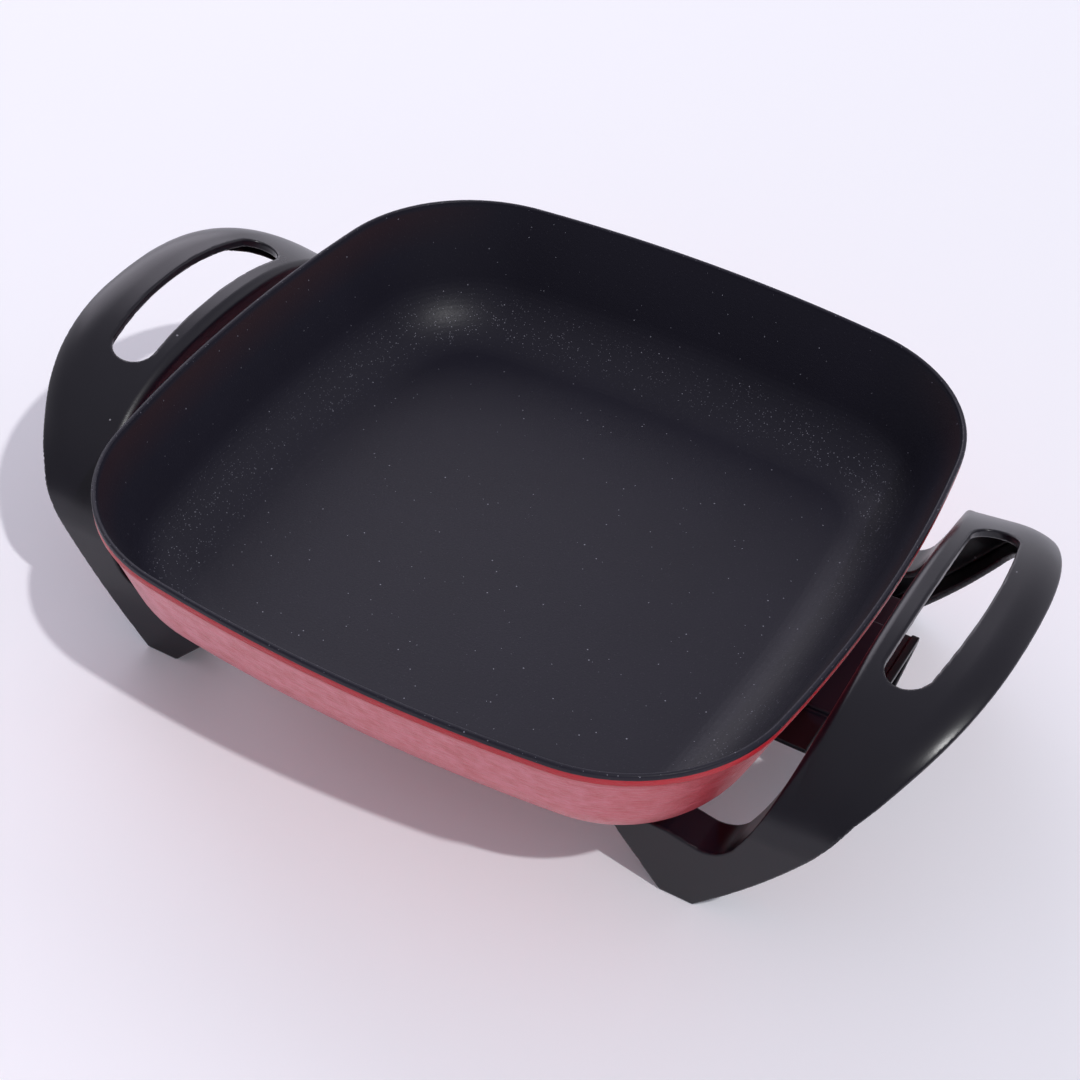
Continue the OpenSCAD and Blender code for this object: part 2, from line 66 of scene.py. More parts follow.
def length(name, description, default):
    return FloatProperty(
        name=name,
        description=description,
        default=default,
        min=0.0,
        precision=4,
        unit="LENGTH",
        subtype="DISTANCE",
    )


def angle(name, description, degrees):
    return FloatProperty(
        name=name,
        description=description,
        default=math.radians(degrees),
        unit="ROTATION",
        subtype="ANGLE",
    )


def share(name, description, default):
    return FloatProperty(
        name=name, description=description, default=default, min=0.0, max=1.0, subtype="FACTOR"
    )


def strength(name, description, default, low=0.0):
    return FloatProperty(name=name, description=description, default=default, min=low)


def vector(name, description, default, subtype="DIRECTION", unit="NONE"):
    return FloatVectorProperty(
        name=name, description=description, default=default, size=3, subtype=subtype, unit=unit
    )


def colour(name, description, default):
    return FloatVectorProperty(
        name=name,
        description=description,
        default=default,
        size=3,
        min=0.0,
        max=1.0,
        subtype="COLOR",
    )


class PanSizes(PropertyGroup):
    width: length("Width", "Width over the rim, both ways", 0.302)
    rim_height: length("Rim height", "Height of the rim above the table", 0.0987)
    depth: length("Depth", "From the rim to the underside", 0.0594)
    side_radius: length("Side radius", "Radius of the gently bowed sides", 0.658)
    corner_radius: length("Corner radius", "Radius of the rim's corners", 0.0706)
    corner_lean: share("Corner lean", "How much steeper the wall stands at the corners", 0.05)
    draft: angle("Draft", "Lean of the wall from upright", 20.7)
    base_radius: length("Base radius", "Outer radius between wall and underside", 0.038)
    wall: length("Wall", "Thickness of the cast wall", 0.0032)
    floor: length("Floor", "Thickness of the cast floor", 0.004)
    coat: length("Coating", "Thickness of the lining", 0.0003)
    band: length("Band", "Height of the lining's band outside the rim", 0.0022)
    seat: length("Seat", "Depth from the rim to where the wall's lean is measured", 0.0031)
    band_step: length("Band step", "How far the enamel stands back under the band", 0.0001)
    bead: length("Bead", "Height of the upright bead under the band", 0.0042)
    rim: length("Rim", "Width of the rim's top", 0.0021)
    rim_edge: length("Rim edge", "Radius of the rim's edges", 0.0009)


class RibSizes(PropertyGroup):
    ring_radius: length("Ring radius", "Radius of the heating element's ring", 0.078)
    bend_radius: length("Bend radius", "Radius of the bends into the leads", 0.016)
    lead: length("Lead offset", "Distance of each lead from the middle", 0.0135)
    height: length("Height", "Height of the element above the table", 0.038)
    radius: length("Rib radius", "Outer radius of the cast rib", 0.0063)
    fillet: length("Fillet", "Radius between the rib and the underside", 0.003)
    head_end: length("Head end", "Where the terminal head ends", 0.124)
    head_half: length("Head half width", "Half width of the terminal head", 0.022)
    head_bottom: length("Head bottom", "Height of the terminal head's underside", 0.025)
    head_top: length("Head top", "Height where the head ends within the floor", 0.0423)
    boss_radius: length("Boss radius", "Radius of the handle bosses", 0.008)
    boss_bottom: length("Boss bottom", "Height of the handle bosses' faces", 0.0339)
    boss_hole: length("Boss hole", "Radius of the holes in the handle bosses", 0.0026)
    tab_radius: length("Tab boss radius", "Radius of the hood's bosses", 0.006)
    tab_bottom: length("Tab boss bottom", "Height of the hood bosses' faces", 0.0363)


class HandleSizes(PropertyGroup):
    half: length("Half width", "From the middle to a leg's outer face", 0.0989)
    leg: length("Leg depth", "Depth of a leg from front to back", 0.0175)
    shell: length("Shell", "Wall of the moulding", 0.003)
    inner: length("Inner edge", "Distance of the grip's inner edge", 0.1560)
    outer: length("Outer edge", "Distance of the grip's outer edge", 0.2106)
    crest_inner: length("Inner crest", "Height of the crest at the inner edge", 0.1014)
    crest_outer: length("Outer crest", "Height of the crest at the outer edge", 0.1071)
    fall_inner: length("Inner fall", "Drop of the arch at the inner edge", 0.0520)
    arch_base: length("Arch base", "Height at which the arch between the legs begins", 0.0579)
    fall_outer: length("Outer fall", "Drop of the arch at the outer edge", 0.057)
    skirt: length("Skirt", "Depth of the grip's skirt at the inner edge", 0.013)
    skirt_outer: length("Outer skirt", "Depth of the grip's skirt at the outer edge", 0.0085)
    foot: length("Foot", "Where the foot starts", 0.113)
    foot_width: length("Foot width", "Width of the foot", 0.0145)
    knee: length("Knee", "Where the leg's outer edge turns", 0.1797)
    knee_height: length("Knee height", "Height of that turn", 0.070)
    bow: length("Bow", "Bow of the leg's outer edge", 0.0029)
    edge_radius: length("Leg curve", "Radius of the leg's inner edge", 0.165)
    edge_rise: length("Leg curve rise", "Height over the crest where that edge is upright", 0.011)
    pad_outer: length("Pad end", "Where the pad ends and the notch starts", 0.113)
    pad_inner: length("Pad start", "Where the pad starts", 0.082)
    pad_height: length("Pad height", "Height of the pad above the table", 0.0339)
    notch: length("Notch", "Radius of the notch between pad and grip", 0.015)
    notch_drop: length("Notch drop", "Depth of the notch under the pad", 0.0024)
    slot_half: length("Slot half length", "Half length of the slot's straight stretch", 0.0425)
    slot_shift: length("Slot shift", "How far the slot's middle lies towards the back", 0.0065)
    slot_inner: length("Slot start", "Distance of the slot's inner edge", 0.165)
    slot_outer: length("Slot end", "Distance of the slot's outer edge", 0.1865)
    slot_inner_radius: length("Slot inner radius", "Radius of the slot's inner edge", 0.900)
    slot_outer_radius: length("Slot outer radius", "Radius of the slot's outer edge", 0.258)
    collar: length("Collar", "Depth of the wall around the slot", 0.004)
    crisp: length("Crisp edge", "Edge radius at the legs", 0.0008)
    crest_edge: length("Inner crest edge", "Edge radius along the grip's inner crest", 0.0036)
    crest_edge_outer: length("Outer crest edge", "Edge radius along the grip's outer crest", 0.0011)
    slot_edge: length("Slot edge", "Edge radius around the slot", 0.0009)
    crown: length("Crown", "How far the grip's top falls off to its outer edge", 0.0042)
    crown_reach: length("Crown width", "Width over which it falls off", 0.016)
    crown_foot: length("Crown foot", "Height under which the top doesn't fall off", 0.060)
    crown_full: length("Crown full", "Height over which it falls off fully", 0.085)
    fullness: strength("Fullness", "Power of the grip's arch, 2 for an ellipse", 2.3, 2.0)
    crisp_end: length("Crisp end", "Height where the crisp edge starts to widen", 0.066)
    wide_start: length("Wide start", "Height where the crest's edge has its full width", 0.094)
    screw_x: length("Screw place", "Distance of the screws from the middle", 0.098)
    screw_y: length("Screw spread", "Place of the screws towards front and back", 0.089)
    well: length("Well", "Radius of the wells for the screws' washers", 0.0068)
    hole: length("Hole", "Radius of the screw holes", 0.0028)
    grain: length("Mesh step", "Spacing of the mesh", 0.001)


class HoodSizes(PropertyGroup):
    half: length("Half width", "Half width over the mouth", 0.0283)
    top: length("Top", "Height of the top", 0.0525)
    bottom: length("Bottom", "Height of the underside", 0.020)
    shoulder: length("Shoulder", "Height of the upright flanks", 0.004)
    foot_half: length("Foot half width", "Half width at the underside", 0.0155)
    start: length("Start", "Where the hood meets the terminal plate", 0.1252)
    end: length("Lip", "Distance of the lip", 0.159)
    rake: angle("Rake", "Lean of the mouth", 8.0)
    wall: length("Wall", "Wall of the moulding", 0.0025)
    bead: length("Bead", "Height of the lip's bead", 0.0008)
    bead_length: length("Bead length", "Length of the lip's bead", 0.0035)
    wing_half: length("Wing half width", "Half width over the wings", 0.0483)
    wing_drop: length("Wing drop", "How far the wings lie under the top", 0.0025)
    wing_end: length("Wing end", "Where the wings end", 0.145)
    wing_length: length("Wing length", "Length of the wings", 0.027)
    rib: length("Grip rib", "Radius of the ribs on the flanks", 0.0008)
    rib_length: length("Grip rib length", "Length of those ribs", 0.012)
    rib_pitch: length("Grip rib pitch", "Pitch of those ribs", 0.003)
    gap: length("Gap", "Gap between the hood and the pan", 0.0006)
    tab_height: length("Tab height", "Height of the tabs' undersides", 0.0338)
    tab_reach: length("Tab reach", "Reach of a tab around its screw", 0.008)
    arm: length("Arm", "Width of the arm to a tab", 0.008)
    arm_start: length("Arm start", "Distance of the arm's inner side", 0.0226)
    arm_root: length("Arm root", "Where the arm's root ends", 0.1362)
    screw_x: length("Screw place", "Distance of the screws from the middle", 0.104)
    screw_y: length("Screw spread", "Place of the screws towards front and back", 0.038)
    hole: length("Hole", "Radius of the screw holes", 0.0021)
    grain: length("Mesh step", "Spacing of the mesh", 0.0006)


class ScrewSizes(PropertyGroup):
    head: length("Head", "Head radius of the handle screws", 0.0046)
    head_height: length("Head height", "Head height of the handle screws", 0.003)
    shank: length("Shank", "Shank radius of the handle screws", 0.0025)
    seat: length("Seat", "Height under which the handle screws' heads hang", 0.0299)
    end: length("End", "Height at which the handle screws end", 0.0413)
    small_head: length("Small head", "Head radius of the hood screws", 0.0034)
    small_height: length("Small head height", "Head height of the hood screws", 0.0022)
    small_shank: length("Small shank", "Shank radius of the hood screws", 0.0018)
    small_seat: length("Small seat", "Height under which the hood screws' heads hang", 0.0328)
    small_end: length("Small end", "Height at which the hood screws end", 0.0413)
    plate_head: length("Plate screw head", "Head radius of the plate's screw", 0.0026)
    plate_height: length("Plate screw head height", "Head height of the plate's screw", 0.0018)
    plate_shank: length("Plate screw shank", "Shank radius of the plate's screw", 0.0015)
    plate_length: length("Plate screw length", "Shank length of the plate's screw", 0.0092)
    plate_z: length("Plate screw place", "Height of the plate's screw", 0.0288)
    grain: length("Mesh step", "Spacing of the mesh", 0.00025)


class FinishSettings(PropertyGroup):
    enamel: colour("Enamel", "Red of the enamel", (0.50, 0.012, 0.024))
    # Painted reflection: this paler red stands for the lit floor reflected in the enamel, laid over
    # its fibres.
    enamel_floor_reflection: colour("Enamel haze", "Paler red of its fibres", (0.72, 0.190, 0.240))
    lining: colour("Lining", "Charcoal of the non-stick lining", (0.0112, 0.0104, 0.0190))
    # Also the colour of the painted glints on the lining's bottom radius.
    fleck: colour("Fleck", "Colour of the lining's flecks", (0.23, 0.23, 0.28))
    plastic: colour("Plastic", "Black of the mouldings", (0.0046, 0.0040, 0.0086))
    dust: colour("Dust", "Colour of the specks on the plastic", (0.36, 0.36, 0.40))
    steel: colour("Steel", "Grey of the plain steel", (0.56, 0.56, 0.57))
    nickel: colour("Nickel", "Warm grey of the plated screws and pins", (0.62, 0.60, 0.56))
    ceramic: colour("Ceramic", "Cream of the collars", (0.80, 0.75, 0.64))
    magnesia: colour("Magnesia", "White of the packed powder", (0.86, 0.85, 0.82))


class StageSettings(PropertyGroup):
    camera: vector("Camera", "Place of the camera", (0.3063, -0.5979, 0.6565), "XYZ", "LENGTH")
    azimuth: angle("Azimuth", "Turn of the camera towards the inlet", 26.99)
    elevation: angle("Elevation", "How far the camera looks down", 42.16)
    roll: angle("Roll", "Tilt of the camera", 4.08)
    lens: FloatProperty(
        name="Lens",
        description="Focal length in millimetres",
        default=73.14,
        unit="CAMERA",
    )
    # The floor's two colours paint the light's fall-off: the front one is lighter where less light
    # reaches.
    floor_far: colour("Far floor", "Colour of the floor behind", (0.885, 0.875, 0.920))
    floor_near: colour("Near floor", "Colour of the floor in front", (0.930, 0.905, 0.965))
    sky: colour("Sky", "Colour of the light all round", (0.925, 0.900, 1.0))
    horizon_level: strength("Horizon level", "Strength of the light near the horizon", 0.92)
    zenith_level: strength("Zenith level", "Strength of the light overhead", 0.46)
    front_level: strength("Front level", "Strength of the light from the camera's side", 0.28)
    backdrop: strength("Backdrop", "How bright the backdrop looks beyond the floor", 0.93)
    # Painted light: these glows lift the floor's shadows as seen.
    lift_far: colour("Far lift", "Glow of the floor behind, as seen", (0.062, 0.072, 0.080))
    lift_near: colour("Near lift", "Glow of the floor in front, as seen", (0.185, 0.185, 0.200))
    key: strength("Key", "Strength of the key lamp", 1.4)
    key_from: vector("Key direction", "Where the key lamp shines from", (0.64, -0.24, 1.0))
    key_angle: angle("Key angle", "Width of the key lamp as seen from the skillet", 1.6)
    fill: FloatProperty(
        name="Fill", description="Power of the soft lamp behind", default=34.0, unit="POWER"
    )
    fill_from: vector("Fill direction", "Where the soft lamp shines from", (-1.0, 0.95, 0.75))
    fill_away: length("Fill distance", "Distance of the soft lamp", 3.6)
    fill_size: length("Fill size", "Side of the soft lamp", 2.5)


GROUPS = {
    "skillet_pan": PanSizes,
    "skillet_rib": RibSizes,
    "skillet_handle": HandleSizes,
    "skillet_hood": HoodSizes,
    "skillet_screw": ScrewSizes,
    "skillet_finish": FinishSettings,
    "skillet_stage": StageSettings,
}


# ---------------------------------------------------------------- distances


def smooth_ramp(value, low, high):
    t = np.clip((value - low) / (high - low), 0, 1)
    return t * t * (3 - 2 * t)


def path_distance(x, y, points):
    """Distance to an open path in plan."""
    best = np.inf
    for (ax, ay), (bx, by) in zip(points[:-1], points[1:]):
        ex, ey = bx - ax, by - ay
        px, py = x - ax, y - ay
        t = np.clip((px * ex + py * ey) / (ex * ex + ey * ey), 0, 1)
        best = np.minimum(best, (px - t * ex) ** 2 + (py - t * ey) ** 2)
    return np.sqrt(best)


def polygon_distance(x, y, points):
    """Distance to a closed outline, negative inside it."""
    x, y = np.broadcast_arrays(x, y)
    closed = np.vstack([points, points[:1]])
    inside = np.zeros(x.shape, bool)
    for (ax, ay), (bx, by) in zip(closed[:-1], closed[1:]):
        if by != ay:
            inside ^= ((ay > y) != (by > y)) & (x - ax < (bx - ax) * (y - ay) / (by - ay))
    return np.where(inside, -1, 1) * path_distance(x, y, closed)


def screw_distance(part, x, y):
    """Distance in plan from the nearer of a part's two screws."""
    return np.hypot(x - part.screw_x, np.abs(y) - part.screw_y)


def box_distance(point, low, high, radius=0.0):
    """Distance to a box whose edges are rounded."""
    out = [np.abs(p - (a + b) / 2) - (b - a) / 2 + radius for p, a, b in zip(point, low, high)]
    deepest = np.maximum(np.maximum(out[0], out[1]), out[2])
    away = np.sqrt(sum(np.maximum(q, 0) ** 2 for q in out))
    return away + np.minimum(deepest, 0) - radius


def rounded_cut(a, b, radius):
    """What two forms share, with the edge between them rounded."""
    away = np.hypot(np.maximum(a + radius, 0), np.maximum(b + radius, 0))
    return np.minimum(np.maximum(a, b), -radius) + away


def rounded_join(a, b, radius):
    """Two forms together, with a fillet between them."""
    away = np.hypot(np.maximum(radius - a, 0), np.maximum(radius - b, 0))
    return np.maximum(radius, np.minimum(a, b)) - away


def arch_distance(y, z, half, base, rise, fullness=2.0):
    """Distance to an upright arch: straight to its base height, then half of a full ellipse."""
    a, b = np.abs(y) / half, np.maximum(z - base, 0) / rise
    q = (a**fullness + b**fullness) ** (1 / fullness)
    slope = np.hypot(a ** (fullness - 1) / half, b ** (fullness - 1) / rise)
    near = (q - 1) * q ** (fullness - 1) / np.maximum(slope, 1e-9)
    deep = (q - 1) * np.minimum(half, rise)
    return np.where(z > base, np.where(q < 0.5, deep, near), np.abs(y) - half)


# ---------------------------------------------------------------- meshes


def arc(cx, cy, radius, start, end, steps=EDGE_STEPS):
    turn = np.linspace(start, end, steps + 1)
    return np.c_[cx + radius * np.cos(turn), cy + radius * np.sin(turn)]


def moved_in(points, distance):
    """A clockwise outline moved inwards."""
    before = points - np.roll(points, 1, axis=0)
    after = np.roll(points, -1, axis=0) - points
    n = np.c_[before[:, 1], -before[:, 0]] / np.linalg.norm(before, axis=1)[:, None]
    m = np.c_[after[:, 1], -after[:, 0]] / np.linalg.norm(after, axis=1)[:, None]
    return points + distance * (n + m) / (1 + (n * m).sum(axis=1))[:, None]


def skin(field, low, high, step):
    """Quads over a field's zero, their corners moved onto it, with the field's own normals."""
    axes = [np.arange(a, b + step, step) for a, b in zip(low, high)]
    value = field(*np.meshgrid(*axes, indexing="ij", sparse=True))
    inside = value < 0
    cells = [len(a) - 1 for a in axes]
    total = np.zeros((cells[0] * cells[1] * cells[2], 4))
    quads = []
    for axis in range(3):
        side, other = (axis + 1) % 3, (axis + 2) % 3
        here = [slice(None)] * 3
        there = [slice(None)] * 3
        here[axis], there[axis] = slice(None, -1), slice(1, None)
        spots = np.argwhere(inside[tuple(here)] != inside[tuple(there)])
        keep = (spots[:, side] > 0) & (spots[:, side] < cells[side])
        keep &= (spots[:, other] > 0) & (spots[:, other] < cells[other])
        spots = spots[keep]
        ends = spots.copy()
        ends[:, axis] += 1
        first, last = value[tuple(spots.T)], value[tuple(ends.T)]
        point = np.stack([axes[k][spots[:, k]] for k in range(3)], axis=1)
        point[:, axis] += step * first / (first - last)
        around = []
        for b, c in ((1, 1), (0, 1), (0, 0), (1, 0)):
            cell = spots.copy()
            cell[:, side] -= b
            cell[:, other] -= c
            index = np.ravel_multi_index(tuple(cell.T), cells)
            around.append(index)
            for k in range(3):
                total[:, k] += np.bincount(index, point[:, k], len(total))
            total[:, 3] += np.bincount(index, minlength=len(total))
        quad = np.stack(around, axis=1)
        far_inside = last < 0
        quad[far_inside] = quad[far_inside][:, ::-1]
        quads.append(quad)
    quads = np.concatenate(quads)
    used = np.flatnonzero(total[:, 3])
    points = total[used, :3] / total[used, 3:]
    for _ in range(3):
        slope = gradient(field, points, step * 0.1)
        size = np.maximum((slope**2).sum(axis=1), 0.05)
        shift = slope * (field(*points.T) / size)[:, None]
        points -= np.clip(shift, -step, step)
    slope = gradient(field, points, step * 0.3)
    normals = slope / np.maximum(np.linalg.norm(slope, axis=1), 1e-9)[:, None]
    return points, np.searchsorted(used, quads), normals


def gradient(field, points, reach):
    slope = np.empty_like(points)
    for k in range(3):
        ahead, behind = points.copy(), points.copy()
        ahead[:, k] += reach
        behind[:, k] -= reach
        slope[:, k] = (field(*ahead.T) - field(*behind.T)) / (2 * reach)
    return slope


def piece(name, points, faces, finish, slot, nodes, normals=None):
    """Makes a piece that rides on the body and stands for the named nodes."""
    mesh = bpy.data.meshes.new(name)
    mesh.from_pydata(np.asarray(points).tolist(), [], [list(map(int, f)) for f in faces])
    mesh.polygons.foreach_set("use_smooth", [True] * len(mesh.polygons))
    if normals is not None:
        mesh.normals_split_custom_set_from_vertices(normals.tolist())
    mesh.materials.append(finish)
    if mesh.validate():
        raise RuntimeError(name + " has faulty faces")
    made = bpy.data.objects.new(name, mesh)
    bpy.context.scene.collection.objects.link(made)
    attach(made, "root")
    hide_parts(*nodes)
    return made


def lofted(rings):
    """Points and faces of a closed skin through rings, with a flat cap at each end."""
    count = len(rings[0])
    faces = []
    for i in range(len(rings) - 1):
        for j in range(count):
            k = (j + 1) % count
            faces.append((i * count + j, (i + 1) * count + j, (i + 1) * count + k, i * count + k))
    last = (len(rings) - 1) * count
    faces.append(tuple(range(count)))
    faces.append(tuple(range(last + count - 1, last - 1, -1)))
    return np.concatenate(rings), faces


# ---------------------------------------------------------------- pan


def corner_share(pan, x, y):
    """How far the wall leans in beside its lean at the sides, less at the corners."""
    return 1 - pan.corner_lean * (2 * np.abs(x * y) / np.maximum(x**2 + y**2, 1e-9)) ** 4


def rim_centres(pan):
    """Offsets of a side's and a corner's centre, and the angle at which the two arcs meet."""
    side_c = pan.side_radius - pan.width / 2
    gap = pan.side_radius - pan.corner_radius
    corner_c = (math.sqrt(2 * gap**2 - side_c**2) - side_c) / 2
    return side_c, corner_c, math.atan2(corner_c, corner_c + side_c)


def rim_plan(pan, inset):
    """The rim's outline moved inwards, anticlockwise from the start of the right side."""
    side_c, corner_c, side_a = rim_centres(pan)
    side = arc(-side_c, 0, pan.side_radius, -side_a, side_a, SIDE_STEPS)[:-1]
    end = math.pi / 2 - side_a
    corner = arc(corner_c, corner_c, pan.corner_radius, side_a, end, CORNER_STEPS)[:-1]
    edge = np.concatenate([side, corner])
    side_turn = np.linspace(-side_a, side_a, SIDE_STEPS + 1)[:-1]
    turn = np.append(side_turn, np.linspace(side_a, end, CORNER_STEPS + 1)[:-1])
    lean = corner_share(pan, edge[:, :1], edge[:, 1:])
    quarter = edge - inset * lean * np.c_[np.cos(turn), np.sin(turn)]
    parts = []
    for turn in range(4):
        c, s = round(math.cos(turn * math.pi / 2)), round(math.sin(turn * math.pi / 2))
        parts.append(quarter @ np.array([[c, s], [-s, c]]))
    return np.concatenate(parts)


def rim_inset(pan, x, y):
    """How far a place in plan lies inside the rim's outline."""
    side_c, corner_c, side_a = rim_centres(pan)
    long = np.maximum(np.abs(x), np.abs(y))
    short = np.minimum(np.abs(x), np.abs(y))
    on_side = np.arctan2(short, long + side_c) < side_a
    side = pan.side_radius - np.hypot(long + side_c, short)
    corner = pan.corner_radius - np.hypot(long - corner_c, short - corner_c)
    return np.where(on_side, side, corner) / corner_share(pan, x, y)


def wall_inset(pan, z):
    return pan.band_step + (pan.rim_height - pan.seat - z) * math.tan(pan.draft)


def bowl(pan, start, floor_z, radius):
    """Profile from a wall's top round to the flat of the floor, as inset and height."""
    zc = floor_z + radius
    ic = start[0] + (start[1] - zc) * math.tan(pan.draft) + radius / math.cos(pan.draft)
    turn = np.linspace(pan.draft, math.pi / 2, ARC_STEPS + 1)
    return np.vstack([[start], np.c_[ic - radius * np.cos(turn), zc - radius * np.sin(turn)]])


def inside_profile(pan, depth):
    """Profile at a depth under the lined surface: up the band, over the rim and down the inside."""
    base_z = pan.rim_height - pan.depth
    top = pan.rim_height - depth
    edge = pan.rim_edge - depth
    z = top - edge
    inner = wall_inset(pan, z) + (pan.wall + pan.coat - depth) / math.cos(pan.draft)
    down = bowl(
        pan,
        (inner, z),
        base_z + pan.floor + pan.coat - depth,
        pan.base_radius - pan.wall - pan.coat + depth,
    )
    flare = inner - pan.rim + depth
    heights = np.linspace(z, down[1][1], WALL_STEPS)[:-1]
    rise = (heights - down[1][1]) / (z - down[1][1])
    wall = np.c_[inner + (z - heights) * math.tan(pan.draft) - flare * rise**2, heights]
    slope = math.atan(math.tan(pan.draft) - 2 * flare / (z - down[1][1]))
    outer_edge = arc(depth + edge, z, edge, math.pi, math.pi / 2, LIP_STEPS)
    inner_edge = arc(wall[0][0] - edge, z, edge, math.pi / 2, max(slope, 0.0), LIP_STEPS)[:-1]
    band_z = pan.rim_height - pan.band
    band = [[depth, band_z], [depth, band_z + 0.0003]]
    return np.vstack([band, outer_edge, inner_edge, wall, down[1:]])


def outside_profile(pan):
    """Profile of the enamel from the underside up to the band, with the upright bead under it."""
    base_z = pan.rim_height - pan.depth
    band_z = pan.rim_height - pan.band
    seat_z = pan.rim_height - pan.seat
    under = bowl(pan, (pan.band_step, seat_z), base_z, pan.base_radius)[::-1][:-1]
    foot = band_z - pan.bead
    step = wall_inset(pan, foot) - pan.band_step
    wall = [(wall_inset(pan, foot - drop), foot - drop) for drop in (0.0016, 0.0008)]
    bends = ((0.93, -0.0002), (0.66, 0.0003), (0.30, 0.0008), (0.08, 0.0013))
    cove = [(pan.band_step + step * out, foot + up) for out, up in bends]
    ends = ((0.0001, foot + 0.0020), (0.0, band_z - 0.0014), (0.0001, band_z - 0.0003))
    bead = [(pan.band_step + out, z) for out, z in (*ends, (0.0002, band_z))]
    return np.vstack([under, wall, cove, bead])


def with_supports(profile, reach=0.0006):
    """Adds points near the ends of long stretches, so that their shading stays flat."""
    out = [profile[0]]
    for a, b in zip(profile[:-1], profile[1:]):
        span = np.linalg.norm(b - a)
        if span > 4 * reach:
            out += [a + (b - a) * reach / span, b - (b - a) * reach / span]
        out.append(b)
    return np.array(out)


def rings_of(pan, profile):
    count = 4 * (SIDE_STEPS + CORNER_STEPS)
    return [np.c_[rim_plan(pan, inset), np.full(count, z)] for inset, z in profile]


def base_centre(pan):
    """Inset and height of the centre of the radius between wall and underside."""
    height = pan.rim_height - pan.depth + pan.base_radius
    return wall_inset(pan, height) + pan.base_radius / math.cos(pan.draft), height


def underside_distance(pan, x, y, z):
    """Distance to the pan's rounded underside."""
    inset, height = base_centre(pan)
    within = np.maximum(inset - rim_inset(pan, x, y), 0)
    return np.hypot(within, height - z) - pan.base_radius


def element_route(rib):
    """The heating element's path in plan, from the front lead round to the rear one."""
    turn = math.asin((rib.lead + rib.bend_radius) / (rib.ring_radius + rib.bend_radius))
    bend_x = (rib.ring_radius + rib.bend_radius) * math.cos(turn)
    side = rib.lead + rib.bend_radius
    front = arc(bend_x, -side, rib.bend_radius, math.pi / 2, math.pi - turn, 10)
    ring = arc(0, 0, rib.ring_radius, -turn, turn - 2 * math.pi, 72)[1:-1]
    rear = front[::-1] * [1, -1]
    ends = [[[rib.head_end - 0.004, y * rib.lead]] for y in (-1, 1)]
    return np.vstack([ends[0], front, ring, rear, ends[1]])


# ---------------------------------------------------------------- handles


def face_lean(h):
    """How far a handle's outer face leans out for each metre up."""
    return (h.outer - h.knee) / (h.crest_outer - h.knee_height)


def handle_side(h):
    """Side view of a handle, clockwise, as distance and height."""
    notch_z = h.pad_height - h.notch_drop
    edge_z = h.crest_inner + h.edge_rise
    edge_x = h.inner - math.sqrt(h.edge_radius**2 - h.edge_rise**2)
    cz = notch_z + h.notch
    cx = edge_x + math.sqrt((h.edge_radius - h.notch) ** 2 - (edge_z - cz) ** 2)
    turn = math.atan2(edge_z - cz, cx - edge_x)
    top = h.crest_outer + 0.001
    heights = np.linspace(cz - h.notch * math.sin(turn), top, EDGE_STEPS + 1)[1:]
    edge = np.c_[edge_x + np.sqrt(h.edge_radius**2 - (edge_z - heights) ** 2), heights]
    over = h.outer + (top - h.crest_outer) * face_lean(h)
    p, q = np.array([h.knee, h.knee_height]), np.array([h.foot + h.foot_width, 0.0])
    along = np.linspace(0, 1, EDGE_STEPS + 1)[:, None]
    across = np.array([(q - p)[1], -(q - p)[0]]) / np.linalg.norm(q - p)
    leg = p + along * (q - p) - 4 * h.bow * along * (1 - along) * across
    start = [[h.foot, 0], [h.pad_inner, h.pad_height], [h.pad_outer, h.pad_height]]
    return np.vstack([start, arc(cx, cz, h.notch, -math.pi / 2, -turn), edge, [[over, top]], leg])


def slot_outline(h):
    """Plan of the finger slot."""
    inner_c = h.slot_inner - h.slot_inner_radius
    outer_c = h.slot_outer - h.slot_outer_radius
    inner_a = math.asin(h.slot_half / h.slot_inner_radius)
    outer_a = math.asin(h.slot_half / h.slot_outer_radius)
    xi = inner_c + h.slot_inner_radius * math.cos(inner_a)
    xo = outer_c + h.slot_outer_radius * math.cos(outer_a)
    middle, radius = (xi + xo) / 2, (xo - xi) / 2
    last = 2 * math.pi - outer_a
    return np.vstack(
        [
            arc(outer_c, h.slot_shift, h.slot_outer_radius, -outer_a, outer_a),
            arc(middle, h.slot_shift + h.slot_half, radius, outer_a, math.pi - inner_a)[1:],
            arc(inner_c, h.slot_shift, h.slot_inner_radius, inner_a, -inner_a)[1:],
            arc(middle, h.slot_shift - h.slot_half, radius, math.pi + inner_a, last)[1:-1],
        ]
    )


